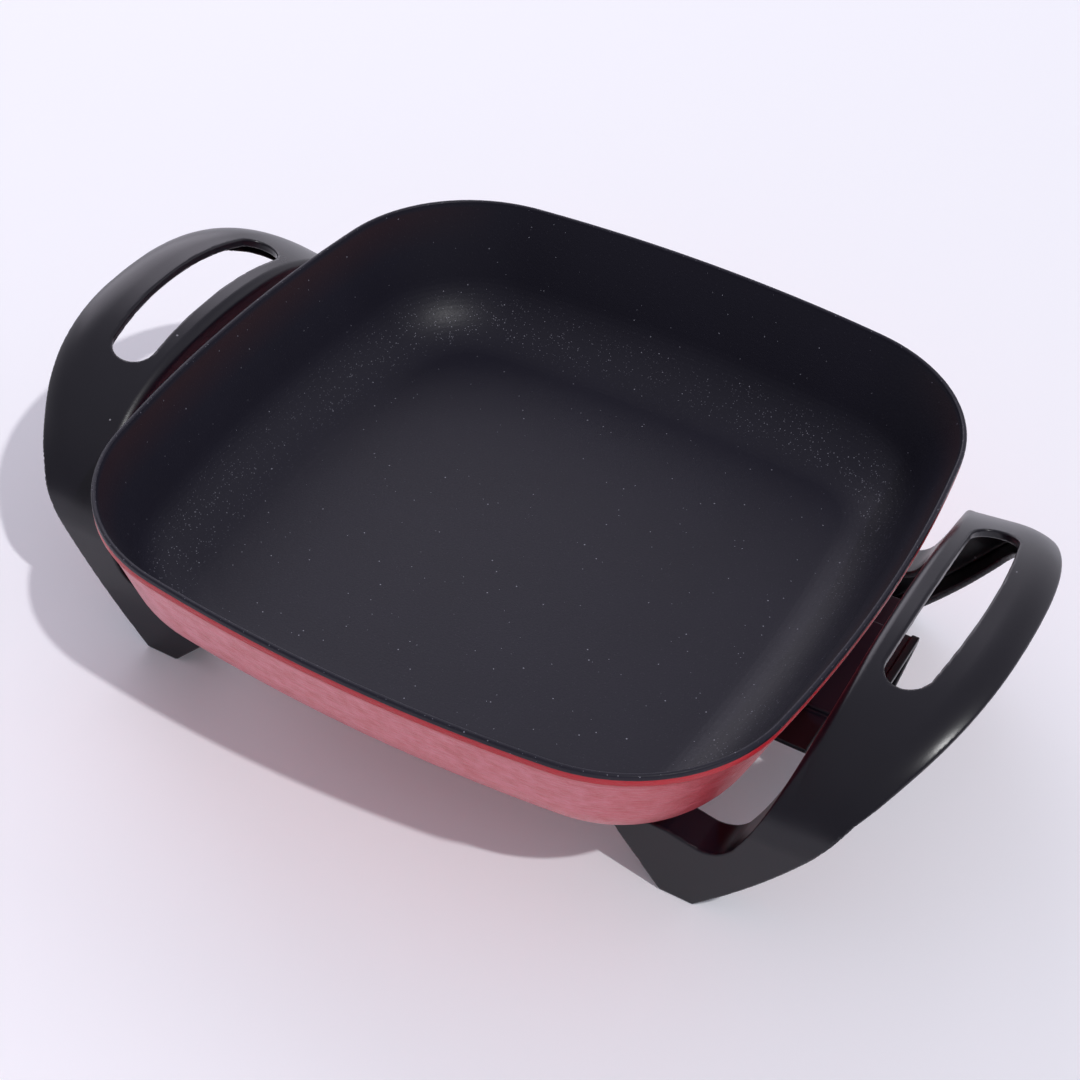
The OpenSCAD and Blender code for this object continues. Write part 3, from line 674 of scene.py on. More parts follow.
def handle_field(h):
    """Distance to the handle on the inlet's side."""
    outline = moved_in(handle_side(h), h.crisp)
    slot = slot_outline(h)
    lean = face_lean(h)

    def field(x, y, z):
        across = np.maximum(0, (x - h.inner) / (h.outer - h.inner))
        crest = h.crest_inner + across * (h.crest_outer - h.crest_inner)
        fall = h.fall_inner + across * (h.fall_outer - h.fall_inner)
        side = polygon_distance(x, z, outline) - h.crisp
        face = h.knee + (z - h.knee_height) * lean
        fallen = np.clip((x - face + h.crown_reach) / h.crown_reach, 0, 1.2) ** 2
        fallen = fallen * smooth_ramp(z, h.crown_foot, h.crown_full)
        full = 2 + np.clip(across, 0, 1) * (h.fullness - 2)
        dome = arch_distance(y, z + h.crown * fallen, h.half, crest - fall, fall, full)
        crown = h.crest_edge + np.clip(across, 0, 1) * (h.crest_edge_outer - h.crest_edge)
        edge = h.crisp + smooth_ramp(z, h.crisp_end, h.wide_start) * (crown - h.crisp)
        outer = rounded_cut(side, dome, edge)
        inner = rounded_cut(side + h.shell, dome + h.shell, np.maximum(edge - h.shell, h.crisp))
        shell = np.maximum(outer, -inner)
        hole = polygon_distance(x, y, slot)
        collar = np.maximum(np.maximum(hole - h.shell, dome + h.shell / 2), -dome - h.collar)
        body = rounded_join(shell, np.maximum(collar, side), h.crisp)
        body = rounded_cut(body, -hole, h.slot_edge)
        depth = h.skirt + smooth_ramp(across, 0.05, 0.6) * (h.skirt_outer - h.skirt)
        opening = arch_distance(y, z, h.half - h.leg, h.arch_base, crest - depth - h.arch_base)
        body = rounded_cut(body, -opening, h.crisp)
        away = screw_distance(h, x, y)
        body = np.maximum(body, -np.maximum(away - h.well, z - h.pad_height + h.shell))
        return np.maximum(body, h.hole - away)

    return field


# ---------------------------------------------------------------- hood


def hood_section(hood):
    """Clockwise section of the hood, in Y and Z."""
    shoulder = hood.top - hood.shoulder
    return np.array(
        [
            [-hood.half, hood.top],
            [hood.half, hood.top],
            [hood.half, shoulder],
            [hood.foot_half, hood.bottom],
            [-hood.foot_half, hood.bottom],
            [-hood.half, shoulder],
        ]
    )


def hood_field(hood, pan):
    """Distance to the inlet hood with its wings, ribs and tabs."""
    soft = 0.0012
    edge, wide_edge, fillet = 0.0003, 0.0004, 0.0008
    outline = moved_in(hood_section(hood), soft)
    shoulder = hood.top - hood.shoulder
    run = np.array([hood.foot_half - hood.half, hood.bottom - shoulder])
    reach = float(np.linalg.norm(run))
    down = run / reach
    ribs = np.arange(hood.rib_pitch, reach - hood.rib_pitch + 1e-6, hood.rib_pitch)
    inset, zc = base_centre(pan)
    xc = pan.width / 2 - inset
    wing_top = hood.top - hood.wing_drop

    def field(x, y, z):
        section = polygon_distance(y, z, outline) - soft
        flank = np.abs(y)
        ends = np.maximum(hood.start - x, x - hood.end)
        body = rounded_cut(section, ends, edge)
        lip = np.maximum(hood.end - hood.bead_length - x, x - hood.end)
        bead = rounded_cut(section - hood.bead, lip, wide_edge)
        body = rounded_join(body, bead, wide_edge)
        for d in ribs:
            cy, cz = hood.half + down[0] * d, shoulder + down[1] * d
            rib = np.hypot(flank - cy, z - cz) - hood.rib
            start = hood.end - hood.bead_length - hood.rib_length
            body = rounded_join(body, np.maximum(rib, np.maximum(start - x, x - hood.end)), edge)
        wing = box_distance(
            (x, y, z),
            (hood.wing_end - hood.wing_length, -hood.wing_half, wing_top - hood.wall),
            (hood.wing_end, hood.wing_half, wing_top),
            0.0005,
        )
        body = rounded_join(body, wing, fillet)
        low, high = hood.tab_height, hood.tab_height + hood.wall

        def plate(start, end, inner, outer):
            spot = (x, flank, z)
            return box_distance(spot, (start, inner, low), (end, outer, high), wide_edge)

        reach_x, reach_y = hood.screw_x + hood.tab_reach, hood.screw_y + hood.tab_reach
        tab_in = hood.screw_x - hood.tab_reach
        tab = plate(tab_in, reach_x, hood.screw_y - hood.tab_reach, reach_y)
        arm = plate(tab_in, hood.arm_root, hood.arm_start, hood.arm_start + hood.arm)
        root = plate(hood.start, hood.arm_root, hood.foot_half, hood.arm_start + 0.001)
        body = rounded_join(body, rounded_join(np.minimum(arm, root), tab, fillet), fillet)
        hollow = np.maximum(section + hood.wall, hood.start - 0.001 - x)
        body = rounded_cut(body, -hollow, edge)
        over = z - hood.top - hood.bead
        mouth = (x - hood.end) * math.cos(hood.rake) - over * math.sin(hood.rake)
        body = rounded_cut(body, mouth, 0.0006)
        room = pan.base_radius + hood.gap - np.hypot(x - xc, z - zc)
        body = rounded_cut(body, room, edge)
        away = screw_distance(hood, x, y)
        return np.maximum(body, np.maximum(hood.hole - away, -0.01))

    return field


# ---------------------------------------------------------------- screws


def screw_mesh(head, height, shank, reach, step):
    """A screw whose domed, cross-recessed head hangs below the origin, its shank above it."""
    dome = 1.7 * head
    arm, arm_half = head * 0.56, head * 0.13

    def field(x, y, z):
        away = np.hypot(x, y)
        cap = rounded_cut(away - head, np.maximum(-z - height, z), step * 2)
        cap = rounded_cut(cap, np.sqrt(away**2 + (z + height - dome) ** 2) - dome, step * 2)
        pin = rounded_cut(away - shank, np.maximum(z - reach, -z - height / 2), step * 2)
        body = rounded_join(cap, pin, step)
        taper = (z + height) * 0.35
        one = np.maximum(np.abs(x) - arm + taper, np.abs(y) - arm_half + taper * 0.2)
        two = np.maximum(np.abs(y) - arm + taper, np.abs(x) - arm_half + taper * 0.2)
        recess = np.maximum(np.minimum(one, two), z + height * 0.35)
        return rounded_cut(body, -recess, step * 0.8)

    room = head + 2 * step
    low, high = (-room, -room, -height - 2 * step), (room, room, reach + 2 * step)
    return skin(field, low, high, step)


def placed(mesh, places):
    """Copies of a mesh, each turned and moved by its matrix, as one mesh."""
    points, faces, normals = mesh
    out_points, out_faces, out_normals = [], [], []
    for i, place in enumerate(places):
        turn = np.array(place.to_3x3())
        out_points.append(points @ turn.T + np.array(place.translation))
        out_normals.append(normals @ turn.T)
        out_faces.append(faces + i * len(points))
    return np.concatenate(out_points), np.concatenate(out_faces), np.concatenate(out_normals)


# ---------------------------------------------------------------- finishes


def put(node, key, value):
    """Gives a node's input another node's output or a plain value."""
    socket = node.inputs[key]
    if isinstance(value, bpy.types.NodeSocket):
        node.id_data.links.new(value, socket)
    elif socket.type == "RGBA":
        socket.default_value = (*value, 1.0)
    else:
        socket.default_value = value


def add(tree, kind, inputs=(), **settings):
    """Adds a node with its settings and inputs."""
    node = tree.nodes.new(kind)
    for name, value in settings.items():
        setattr(node, name, value)
    for key, value in dict(inputs).items():
        put(node, key, value)
    return node


def math_node(tree, operation, *values):
    return add(tree, "ShaderNodeMath", dict(enumerate(values)), operation=operation).outputs[0]


def times(tree, a, b):
    return math_node(tree, "MULTIPLY", a, b)


def scaled(tree, value, factor, rest):
    """A value times a factor, plus the rest."""
    return math_node(tree, "MULTIPLY_ADD", value, factor, rest)


def parts_of(tree, value):
    """A vector's three parts."""
    return add(tree, "ShaderNodeSeparateXYZ", {"Vector": value}).outputs


def ramp(tree, value, low, high, start=0.0, end=1.0):
    node = add(
        tree,
        "ShaderNodeMapRange",
        {"Value": value, "From Min": low, "From Max": high, "To Min": start, "To Max": end},
        clamp=True,
    )
    return node.outputs["Result"]


def mixed(tree, factor, a, b):
    """A mix of two colours."""
    return add(tree, "ShaderNodeMix", {0: factor, 6: a, 7: b}, data_type="RGBA").outputs[2]


def new_group(name, inputs, outputs):
    """A shader node group with plain number and vector sockets; returns it with its ends."""
    tree = bpy.data.node_groups.new(name, "ShaderNodeTree")
    for label, default in inputs.items():
        if default is None:
            tree.interface.new_socket(label, in_out="INPUT", socket_type="NodeSocketVector")
        else:
            socket = tree.interface.new_socket(label, in_out="INPUT", socket_type="NodeSocketFloat")
            socket.default_value = default
    for label in outputs:
        tree.interface.new_socket(label, in_out="OUTPUT", socket_type="NodeSocketFloat")
    start = tree.nodes.new("NodeGroupInput")
    end = tree.nodes.new("NodeGroupOutput")
    return tree, start.outputs, end.inputs


def specks_group(name):
    """Sparse round specks of mixed sizes."""
    sockets = {"Place": None, "Pitch": 400.0, "Share": 0.1, "Size": 0.3}
    tree, inputs, outputs = new_group(name, sockets, ["Mask"])
    cells = add(
        tree,
        "ShaderNodeTexVoronoi",
        {"Vector": inputs["Place"], "Scale": inputs["Pitch"]},
        voronoi_dimensions="3D",
        feature="F1",
    )
    split = add(tree, "ShaderNodeSeparateColor", {"Color": cells.outputs["Color"]})
    radius = times(tree, inputs["Size"], math_node(tree, "POWER", split.outputs["Green"], 1.5))
    near = math_node(tree, "LESS_THAN", cells.outputs["Distance"], radius)
    chosen = math_node(tree, "LESS_THAN", split.outputs["Red"], inputs["Share"])
    tree.links.new(times(tree, near, chosen), outputs["Mask"])
    return tree


def noise_node(tree, place, scale, **settings):
    inputs = {"Vector": place, "Scale": scale, **settings}
    return add(tree, "ShaderNodeTexNoise", inputs).outputs["Fac"]


def mottle_group(name):
    """Cloudy unevenness at a broad and a fine scale."""
    sockets = {"Place": None, "Broad": 20.0, "Fine": 400.0}
    tree, inputs, outputs = new_group(name, sockets, ["Cloud", "Grain"])
    for label, socket, detail in (("Cloud", "Broad", 2.0), ("Grain", "Fine", 3.0)):
        noise = noise_node(tree, inputs["Place"], inputs[socket], Detail=detail, Roughness=0.55)
        tree.links.new(ramp(tree, noise, 0.25, 0.75), outputs[label])
    return tree


def fibres_group(name):
    """Short streaks that run level round a wall."""
    sockets = {"Place": None, "Along": 120.0, "Across": 900.0}
    tree, inputs, outputs = new_group(name, sockets, ["Streaks"])
    along, across = inputs["Along"], inputs["Across"]
    size = add(tree, "ShaderNodeCombineXYZ", {"X": along, "Y": along, "Z": across}).outputs[0]
    stretch = {0: inputs["Place"], 1: size}
    place = add(tree, "ShaderNodeVectorMath", stretch, operation="MULTIPLY").outputs[0]
    noise = noise_node(tree, place, 1.0, Detail=4.0, Roughness=0.6, Distortion=0.6)
    tree.links.new(ramp(tree, noise, 0.3, 0.7), outputs["Streaks"])
    return tree


def new_finish(name):
    """A material with its shader and the object's own coordinates."""
    made = bpy.data.materials.new(name)
    made.use_nodes = True
    tree = made.node_tree
    place = tree.nodes.new("ShaderNodeTexCoord").outputs["Object"]
    return made, tree, tree.nodes["Principled BSDF"], place


def group(tree, name, make, place, **inputs):
    """A node of a group, which is made when it is first asked for."""
    made = bpy.data.node_groups.get(name) or make(name)
    return add(tree, "ShaderNodeGroup", {"Place": place, **inputs}, node_tree=made).outputs


def specks(tree, place, pitch, share, size):
    sizes = {"Pitch": pitch, "Share": share, "Size": size}
    return group(tree, "Specks", specks_group, place, **sizes)["Mask"]


def mottle_over(tree, place, broad, fine):
    return group(tree, "Mottle", mottle_group, place, Broad=broad, Fine=fine)


def fibres_over(tree, place, along, across):
    return group(tree, "Fibres", fibres_group, place, Along=along, Across=across)["Streaks"]


def bump(tree, shader, height, amount, distance):
    inputs = {"Height": height, "Strength": amount, "Distance": distance}
    put(shader, "Normal", add(tree, "ShaderNodeBump", inputs).outputs["Normal"])


def clouded(tree, mottle, amount, tint, change):
    """A colour that clouds over into a lighter or darker one."""
    return mixed(tree, times(tree, mottle["Cloud"], amount), tint, [c * change for c in tint])


def enamel(look):
    """Metallic red enamel: a plain deep red bead over a wall hazed by fine level fibres, the pale
    haze being painted reflection of the lit floor.
    """
    made, tree, shader, place = new_finish("Red enamel")
    fibres = fibres_over(tree, place, 150.0, 560.0)
    mottle = mottle_over(tree, place, 150.0, 900.0)
    spot = parts_of(tree, place)
    height = spot["Z"]
    ragged = scaled(tree, mottle["Cloud"], 0.0014, height)
    wall = ramp(tree, ragged, 0.0938, 0.0908)
    # Painted reflection: the pale haze fades towards the bottom, where the reflected floor lies in
    # shade, and towards the right-hand side, which reflects the dark handle.
    low = ramp(tree, height, 0.046, 0.068, 0.35, 1.0)
    plain = ramp(tree, spot["X"], 0.095, 0.135, 1.0, 0.3)
    low = times(tree, low, plain)
    streaks = scaled(tree, fibres, 0.6, times(tree, mottle["Cloud"], 0.65))
    painted_reflection_share = times(tree, times(tree, streaks, wall), low)
    put(shader, "Base Color", mixed(tree, painted_reflection_share, look.enamel, look.enamel_floor_reflection))
    put(shader, "Roughness", scaled(tree, fibres, 0.16, 0.30))
    put(shader, "Metallic", times(tree, wall, 0.4))
    put(shader, "Coat Weight", times(tree, times(tree, wall, plain), 0.45))
    put(shader, "Coat Roughness", 0.25)
    relief = scaled(tree, mottle["Grain"], 0.4, fibres)
    bump(tree, shader, relief, 0.5, 0.0004)
    return made


def lining(look):
    """Charcoal non-stick lining with light flecks that gather along the bottom radius; the extra
    ones there, most near the corners, are painted glints.
    """
    made, tree, shader, place = new_finish("Non-stick lining")
    mottle = mottle_over(tree, place, 22.0, 1100.0)
    sparse = specks(tree, place, 620.0, 0.12, 0.20)
    fine = specks(tree, place, 1400.0, 0.30, 0.33)
    glint_specks = specks(tree, place, 1300.0, 0.45, 0.36)
    facing = add(tree, "ShaderNodeNewGeometry").outputs["Normal"]
    level = parts_of(tree, facing)["Z"]
    bend = times(tree, ramp(tree, level, 0.45, 0.8), ramp(tree, level, 0.985, 0.90))
    spot = parts_of(tree, place)
    away_x, away_y = (math_node(tree, "ABSOLUTE", spot[axis]) for axis in "XY")
    corner = math_node(tree, "ADD", away_x, away_y)
    # Painted glints: extra flecks on the bottom radius, most near the corners, where the lamp would
    # make the lining sparkle.
    painted_glint_share = times(tree, bend, ramp(tree, corner, 0.12, 0.20, 0.2125, 0.85))
    flecks_and_glints = math_node(tree, "MAXIMUM", sparse, times(tree, glint_specks, painted_glint_share))
    flecks = math_node(tree, "MAXIMUM", times(tree, fine, 0.07), flecks_and_glints)
    base = clouded(tree, mottle, 0.5, look.lining, 1.3)
    side = ramp(tree, away_x, 0.10, 0.15)
    upper = times(tree, ramp(tree, spot["Z"], 0.080, 0.094), ramp(tree, spot["Z"], 0.0972, 0.0960))
    blush = times(tree, side, upper)
    base = mixed(tree, times(tree, blush, 0.45), base, (0.036, 0.009, 0.008))
    put(shader, "Base Color", mixed(tree, flecks, base, look.fleck))
    rough = scaled(tree, mottle["Grain"], 0.14, 0.38)
    put(shader, "Specular IOR Level", 0.25)
    put(shader, "Roughness", scaled(tree, flecks, -0.12, rough))
    bump(tree, shader, math_node(tree, "ADD", mottle["Grain"], flecks), 0.25, 0.00012)
    return made


def plastic(look):
    """Black moulded plastic, satin gloss, with a few specks of dust."""
    made, tree, shader, place = new_finish("Black plastic")
    mottle = mottle_over(tree, place, 30.0, 1500.0)
    dust = specks(tree, place, 260.0, 0.05, 0.16)
    base = clouded(tree, mottle, 0.4, look.plastic, 1.4)
    put(shader, "Base Color", mixed(tree, times(tree, dust, 0.6), base, look.dust))
    rough = scaled(tree, mottle["Cloud"], 0.06, 0.27)
    put(shader, "Specular IOR Level", 0.45)
    put(shader, "Roughness", scaled(tree, dust, 0.3, rough))
    bump(tree, shader, mottle["Grain"], 0.12, 0.0001)
    return made


def metal(name, tint, rough, along, across):
    """Bare or plated metal with fine drawn streaks."""
    made, tree, shader, place = new_finish(name)
    fibres = fibres_over(tree, place, along, across)
    mottle = mottle_over(tree, place, 60.0, 1800.0)
    blend = scaled(tree, fibres, 0.3, times(tree, mottle["Cloud"], 0.4))
    put(shader, "Base Color", mixed(tree, blend, [c * 0.82 for c in tint], tint))
    put(shader, "Roughness", scaled(tree, fibres, 0.14, rough))
    put(shader, "Metallic", 1.0)
    bump(tree, shader, fibres, 0.15, 0.00008)
    return made


def mineral(name, tint, rough, relief):
    """Unglazed ceramic or packed powder."""
    made, tree, shader, place = new_finish(name)
    mottle = mottle_over(tree, place, 120.0, 2500.0)
    put(shader, "Base Color", mixed(tree, mottle["Cloud"], [c * 0.88 for c in tint], tint))
    put(shader, "Roughness", scaled(tree, mottle["Grain"], 0.1, rough))
    bump(tree, shader, mottle["Grain"], relief, 0.0001)
    return made


def finish(name):
    """The finish of that name, mixed when it is first asked for."""
    look = bpy.context.scene.skillet_finish
    if name in bpy.data.materials:
        return bpy.data.materials[name]
    mixes = {
        "Red enamel": lambda: enamel(look),
        "Non-stick lining": lambda: lining(look),
        "Black plastic": lambda: plastic(look),
        "Plain steel": lambda: metal(name, look.steel, 0.28, 90.0, 2200.0),
        "Nickel plate": lambda: metal(name, look.nickel, 0.2, 500.0, 900.0),
        "Cream ceramic": lambda: mineral(name, look.ceramic, 0.62, 0.3),
        "Packed magnesia": lambda: mineral(name, look.magnesia, 0.85, 0.5),
    }
    return mixes[name]()


# ---------------------------------------------------------------- operators


class SKILLET_OT_pan(Operator):
    """Lofts the cast pan and its lining"""

    bl_idname = "skillet.pan"
    bl_label = "Pan and lining"

    def execute(self, context):
        pan = context.scene.skillet_pan
        outside = with_supports(outside_profile(pan))
        under_coat = with_supports(inside_profile(pan, pan.coat))
        surface = with_supports(inside_profile(pan, 0.0))
        body = rings_of(pan, np.vstack([outside, under_coat]))
        piece("cast_pan", *lofted(body), finish("Red enamel"), "red_enamel", ["pan_casting"])
        coat = rings_of(pan, np.vstack([under_coat[::-1], surface]))
        black = finish("Non-stick lining")
        piece("pan_lining", *lofted(coat), black, "nonstick_black", ["nonstick_coating"])
        return {"FINISHED"}


class SKILLET_OT_underside(Operator):
    """Casts the element's rib, the terminal head and the bosses under the pan"""

    bl_idname = "skillet.underside"
    bl_label = "Rib, terminal head and bosses"

    def execute(self, context):
        pan, rib = context.scene.skillet_pan, context.scene.skillet_rib
        handle, hood = context.scene.skillet_handle, context.scene.skillet_hood
        route = element_route(rib)
        inner = rib.ring_radius - rib.radius

        def features(x, y, z):
            path = path_distance(x, y, route)
            ring = np.hypot(path, np.minimum(z - rib.height, 0)) - rib.radius
            head = box_distance(
                (x, y, z),
                (inner, -rib.head_half, rib.head_bottom),
                (rib.head_end + 0.01, rib.head_half, rib.head_top),
                0.0015,
            )
            head = rounded_cut(head, x - rib.head_end, 0.0004)
            body = rounded_join(ring, head, 0.0015)
            away = screw_distance(handle, np.abs(x), y)
            boss = rounded_cut(away - rib.boss_radius, rib.boss_bottom - z, 0.0006)
            boss = np.maximum(boss, rib.boss_hole - away)
            away = screw_distance(hood, x, y)
            tab = rounded_cut(away - rib.tab_radius, rib.tab_bottom - z, 0.0006)
            return np.minimum(body, np.minimum(boss, tab))

        def field(x, y, z):
            return rounded_join(features(x, y, z), underside_distance(pan, x, y, z), rib.fillet)

        low, high = (-0.112, -0.104, 0.0235), (0.126, 0.104, 0.0485)
        points, faces, normals = skin(field, low, high, 0.001)
        flush = np.abs(underside_distance(pan, *points.T)) < FLUSH
        faces = faces[~flush[faces].all(axis=1)]
        used = np.unique(faces)
        points, faces, normals = points[used], np.searchsorted(used, faces), normals[used]
        red = finish("Red enamel")
        name = "cast_rib_and_bosses"
        piece(name, points, faces, red, "red_enamel", ["pan_casting"], normals)
        return {"FINISHED"}


class SKILLET_OT_handles(Operator):
    """Moulds the two handles with their finger slots and legs"""

    bl_idname = "skillet.handles"
    bl_label = "Handles"

    def execute(self, context):
        h = context.scene.skillet_handle
        low = (h.pad_inner - 0.002, -h.half - 0.002, -0.002)
        high = (h.outer + 0.003, h.half + 0.002, h.crest_outer + 0.002)
        points, faces, normals = skin(handle_field(h), low, high, h.grain)
        black = finish("Black plastic")
        for side, node, turned in ((1, "right_handle", faces), (-1, "left_handle", faces[:, ::-1])):
            flip = np.array([side, 1.0, 1.0])
            name = node + "_moulding"
            piece(name, points * flip, turned, black, "black_plastic", [node], normals * flip)
        return {"FINISHED"}


class SKILLET_OT_hood(Operator):
    """Moulds the hood round the inlet"""

    bl_idname = "skillet.hood"
    bl_label = "Inlet hood"

    def execute(self, context):
        hood, pan = context.scene.skillet_hood, context.scene.skillet_pan
        low = (hood.screw_x - hood.tab_reach - 0.002, -hood.wing_half - 0.002, hood.bottom - 0.003)
        high = (hood.end + 0.002, hood.wing_half + 0.002, hood.top + 0.003)
        points, faces, normals = skin(hood_field(hood, pan), low, high, hood.grain)
        black = finish("Black plastic")
        piece("inlet_hood", points, faces, black, "black_plastic", ["socket_shroud"], normals)
        return {"FINISHED"}


class SKILLET_OT_screws(Operator):
    """Makes the cross-head screws of the handles, the hood and the terminal plate"""

    bl_idname = "skillet.screws"
    bl_label = "Screws"

    def execute(self, context):
        s, h = context.scene.skillet_screw, context.scene.skillet_handle
        hood = context.scene.skillet_hood
        plated = finish("Nickel plate")

        def at(x, y, z, turn, axis="Z"):
            return Matrix.Translation((x, y, z)) @ Matrix.Rotation(turn, 4, axis)

        def drive(name, node, mesh, places):
            points, faces, normals = placed(mesh, places)
            piece(name, points, faces, plated, "nickel", [node], normals)

        large = screw_mesh(s.head, s.head_height, s.shank, s.end - s.seat, s.grain * 1.4)
        for side, node in ((1, "right_handle_screws"), (-1, "left_handle_screws")):
            places = [at(side * h.screw_x, y * h.screw_y, s.seat, 0.5 + y + side) for y in (-1, 1)]
            drive("cross_" + node, node, large, places)
        small_reach = s.small_end - s.small_seat
        small = screw_mesh(s.small_head, s.small_height, s.small_shank, small_reach, s.grain)
        places = [at(hood.screw_x, y * hood.screw_y, s.small_seat, 0.9 * y) for y in (-1, 1)]
        drive("cross_hood_screws", "shroud_screws", small, places)
        single = screw_mesh(s.plate_head, s.plate_height, s.plate_shank, s.plate_length, s.grain)
        places = [at(hood.start, 0, s.plate_z, -math.pi / 2, "Y")]
        drive("cross_plate_screw", "plate_screw", single, places)
        return {"FINISHED"}


class SKILLET_OT_carried(Operator):
    """Gives the element, terminals, plate and washers their finishes"""

    bl_idname = "skillet.carried"
    bl_label = "Element, terminals and washers"

    def execute(self, context):
        finishes = {
            "Plain steel": (
                "element_sheath",
                "probe_well",
                "terminal_plate",
                "shroud_washers",
                "left_handle_washers",
                "right_handle_washers",
            ),
            "Nickel plate": ("resistance_wire", "terminal_pin_front", "terminal_pin_rear"),
            "Cream ceramic": ("insulator_front", "insulator_rear"),
            "Packed magnesia": ("magnesia_filling",),
        }
        for name, nodes in finishes.items():
            for node in nodes:
                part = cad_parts[node]
                for slot in part.material_slots:
                    slot.material = finish(name)
        return {"FINISHED"}


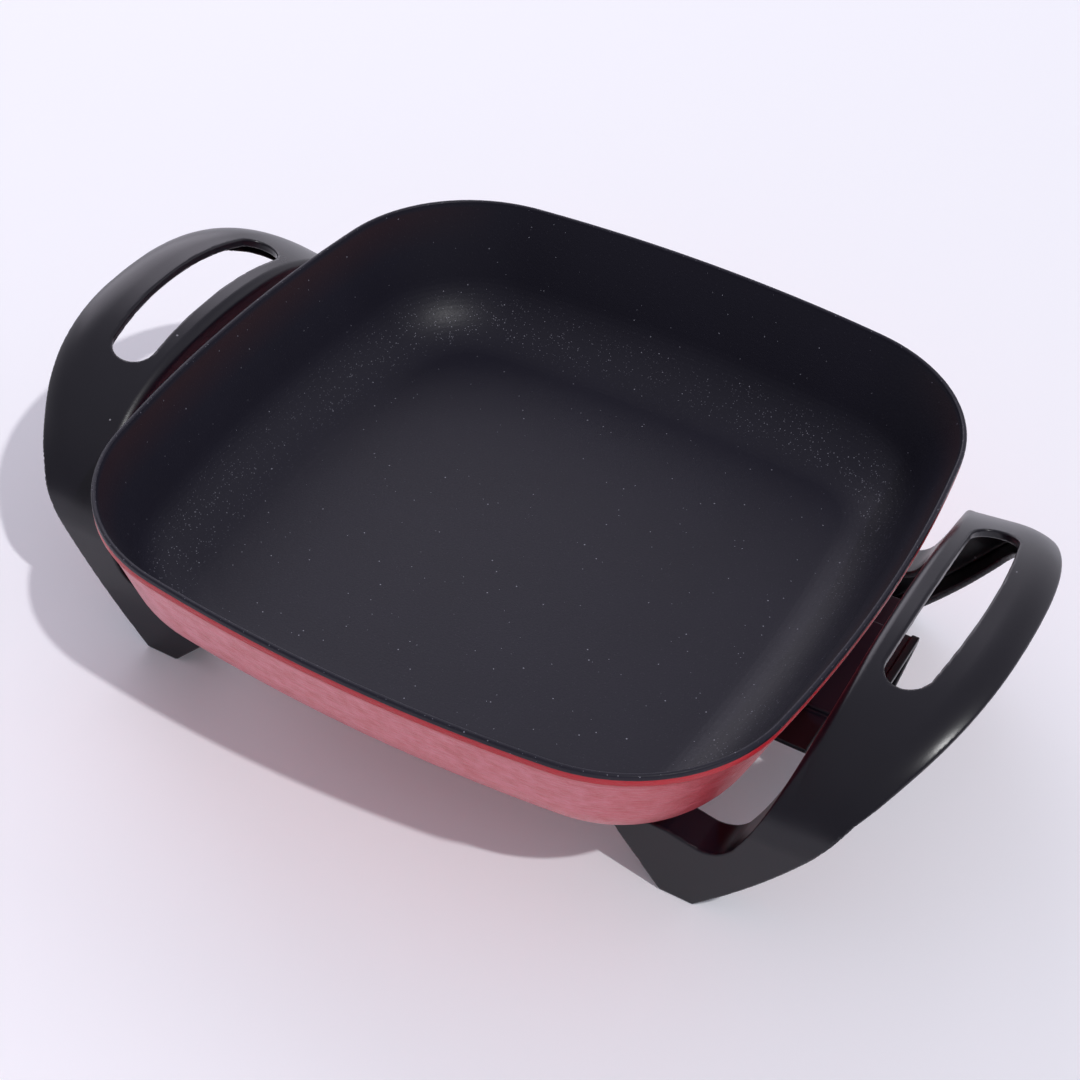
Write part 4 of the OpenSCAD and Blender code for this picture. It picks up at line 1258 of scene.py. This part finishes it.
class SKILLET_OT_stage(Operator):
    """Sets the floor, the lamps, the sky and the camera"""

    bl_idname = "skillet.stage"
    bl_label = "Floor, light and camera"

    def execute(self, context):
        stage = context.scene.skillet_stage
        scene = context.scene
        scene.view_settings.view_transform = "Standard"
        self.floor(scene, stage)
        self.sky(scene, stage)
        self.key(scene, stage)
        self.fill(scene, stage)
        self.camera(scene, stage)
        return {"FINISHED"}

    def seen(self, tree):
        """One where a ray from the camera, a reflection or a look through something meets it."""
        rays = tree.nodes.new("ShaderNodeLightPath").outputs
        direct = math_node(tree, "MAXIMUM", rays["Is Camera Ray"], rays["Is Glossy Ray"])
        return math_node(tree, "MAXIMUM", direct, rays["Is Transmission Ray"])

    def floor(self, scene, stage):
        made, tree, shader, place = new_finish("Pale floor")
        mottle = mottle_over(tree, place, 3.0, 300.0)
        depth = parts_of(tree, place)["Y"]
        # Painted light: the floor is lighter in front, making up for the weaker light from the
        # camera's side.
        painted_light_tone = mixed(tree, ramp(tree, depth, -0.35, 0.25), stage.floor_near, stage.floor_far)
        hue = mixed(tree, times(tree, mottle["Cloud"], 0.02), painted_light_tone, (1.0, 0.93, 0.97))
        put(shader, "Base Color", hue)
        put(shader, "Roughness", scaled(tree, mottle["Grain"], 0.1, 0.6))
        put(shader, "Specular IOR Level", 0.15)
        put(shader, "Emission Strength", 1.0)
        # Painted light: the floor also glows for the camera and in reflections, more in front,
        # lifting its shadows.
        lift = mixed(tree, ramp(tree, depth, -0.46, -0.22), stage.lift_near, stage.lift_far)
        put(shader, "Emission Color", mixed(tree, self.seen(tree), (0.0, 0.0, 0.0), lift))
        mesh = bpy.data.meshes.new("floor")
        signs = ((-1, -1), (1, -1), (1, 1), (-1, 1))
        corners = [(x * FLOOR_HALF, y * FLOOR_HALF, 0) for x, y in signs]
        mesh.from_pydata(corners, [], [(0, 1, 2, 3)])
        mesh.materials.append(made)
        floor = bpy.data.objects.new("floor", mesh)
        scene.collection.objects.link(floor)

    def sky(self, scene, stage):
        world = bpy.data.worlds.new("Studio")
        world.use_nodes = True
        tree = world.node_tree
        towards = tree.nodes.new("ShaderNodeTexCoord").outputs["Generated"]
        height = parts_of(tree, towards)["Z"]
        ahead = (-math.sin(stage.azimuth), math.cos(stage.azimuth), 0.0)
        back = add(
            tree, "ShaderNodeVectorMath", {0: towards, 1: ahead}, operation="DOT_PRODUCT"
        ).outputs["Value"]
        behind = ramp(tree, height, 0.25, 0.75, stage.horizon_level, stage.zenith_level)
        before = ramp(tree, height, 0.30, 0.90, stage.front_level, stage.zenith_level)
        rise = math_node(tree, "SUBTRACT", behind, before)
        around = scaled(tree, rise, ramp(tree, back, -0.35, 0.45), before)
        shown = tree.nodes.new("ShaderNodeLightPath").outputs["Is Camera Ray"]
        change = math_node(tree, "SUBTRACT", stage.backdrop, around)
        level = scaled(tree, change, shown, around)
        put(tree.nodes["Background"], "Color", stage.sky)
        put(tree.nodes["Background"], "Strength", level)
        scene.world = world

    def lamp(self, scene, name, kind, place, distance):
        towards = Vector(place).normalized()
        lamp = bpy.data.lights.new(name, kind)
        holder = bpy.data.objects.new(name, lamp)
        holder.location = towards * distance
        holder.rotation_euler = towards.to_track_quat("Z", "Y").to_euler()
        scene.collection.objects.link(holder)
        return lamp

    def key(self, scene, stage):
        lamp = self.lamp(scene, "key", "SUN", stage.key_from, 2.0)
        lamp.energy = stage.key
        lamp.angle = stage.key_angle

    def fill(self, scene, stage):
        lamp = self.lamp(scene, "fill", "AREA", stage.fill_from, stage.fill_away)
        lamp.size = stage.fill_size
        lamp.energy = stage.fill
        lamp.color = (0.93, 0.88, 1.0)

    def camera(self, scene, stage):
        az, el = stage.azimuth, stage.elevation
        back = Vector((math.cos(el) * math.sin(az), -math.cos(el) * math.cos(az), math.sin(el)))
        level = Vector((math.cos(az), math.sin(az), 0.0))
        up = back.cross(level)
        right = level * math.cos(stage.roll) + up * math.sin(stage.roll)
        up = back.cross(right)
        eye = bpy.data.cameras.new("camera")
        eye.lens = stage.lens
        eye.sensor_width = 36.0
        eye.clip_start = 0.01
        holder = bpy.data.objects.new("camera", eye)
        turn = Matrix((right, up, back)).transposed().to_4x4()
        holder.matrix_world = Matrix.Translation(stage.camera) @ turn
        scene.collection.objects.link(holder)
        scene.camera = holder


OPERATORS = (
    SKILLET_OT_pan,
    SKILLET_OT_underside,
    SKILLET_OT_handles,
    SKILLET_OT_hood,
    SKILLET_OT_screws,
    SKILLET_OT_carried,
    SKILLET_OT_stage,
)


class VIEW3D_PT_skillet(Panel):
    """Lists the skillet's steps and sizes"""

    bl_idname = "VIEW3D_PT_skillet"
    bl_label = "Electric skillet"
    bl_space_type = "VIEW_3D"
    bl_region_type = "UI"
    bl_category = "Skillet"

    def draw(self, context):
        layout = self.layout
        for operator in OPERATORS:
            layout.operator(operator.bl_idname)
        for name, kind in GROUPS.items():
            box = layout.box()
            box.label(text=kind.__name__)
            for key in kind.__annotations__:
                box.prop(getattr(context.scene, name), key)


def register():
    for kind in (*GROUPS.values(), *OPERATORS, VIEW3D_PT_skillet):
        bpy.utils.register_class(kind)
    for name, kind in GROUPS.items():
        setattr(bpy.types.Scene, name, PointerProperty(type=kind))


def unregister():
    for name in GROUPS:
        delattr(bpy.types.Scene, name)
    for kind in reversed((*GROUPS.values(), *OPERATORS, VIEW3D_PT_skillet)):
        bpy.utils.unregister_class(kind)


def main():
    """Builds every piece in order."""
    register()
    for name in ("pan", "underside", "handles", "hood", "screws", "carried", "stage"):
        getattr(bpy.ops.skillet, name)()


if __name__ == "__main__":
    main()
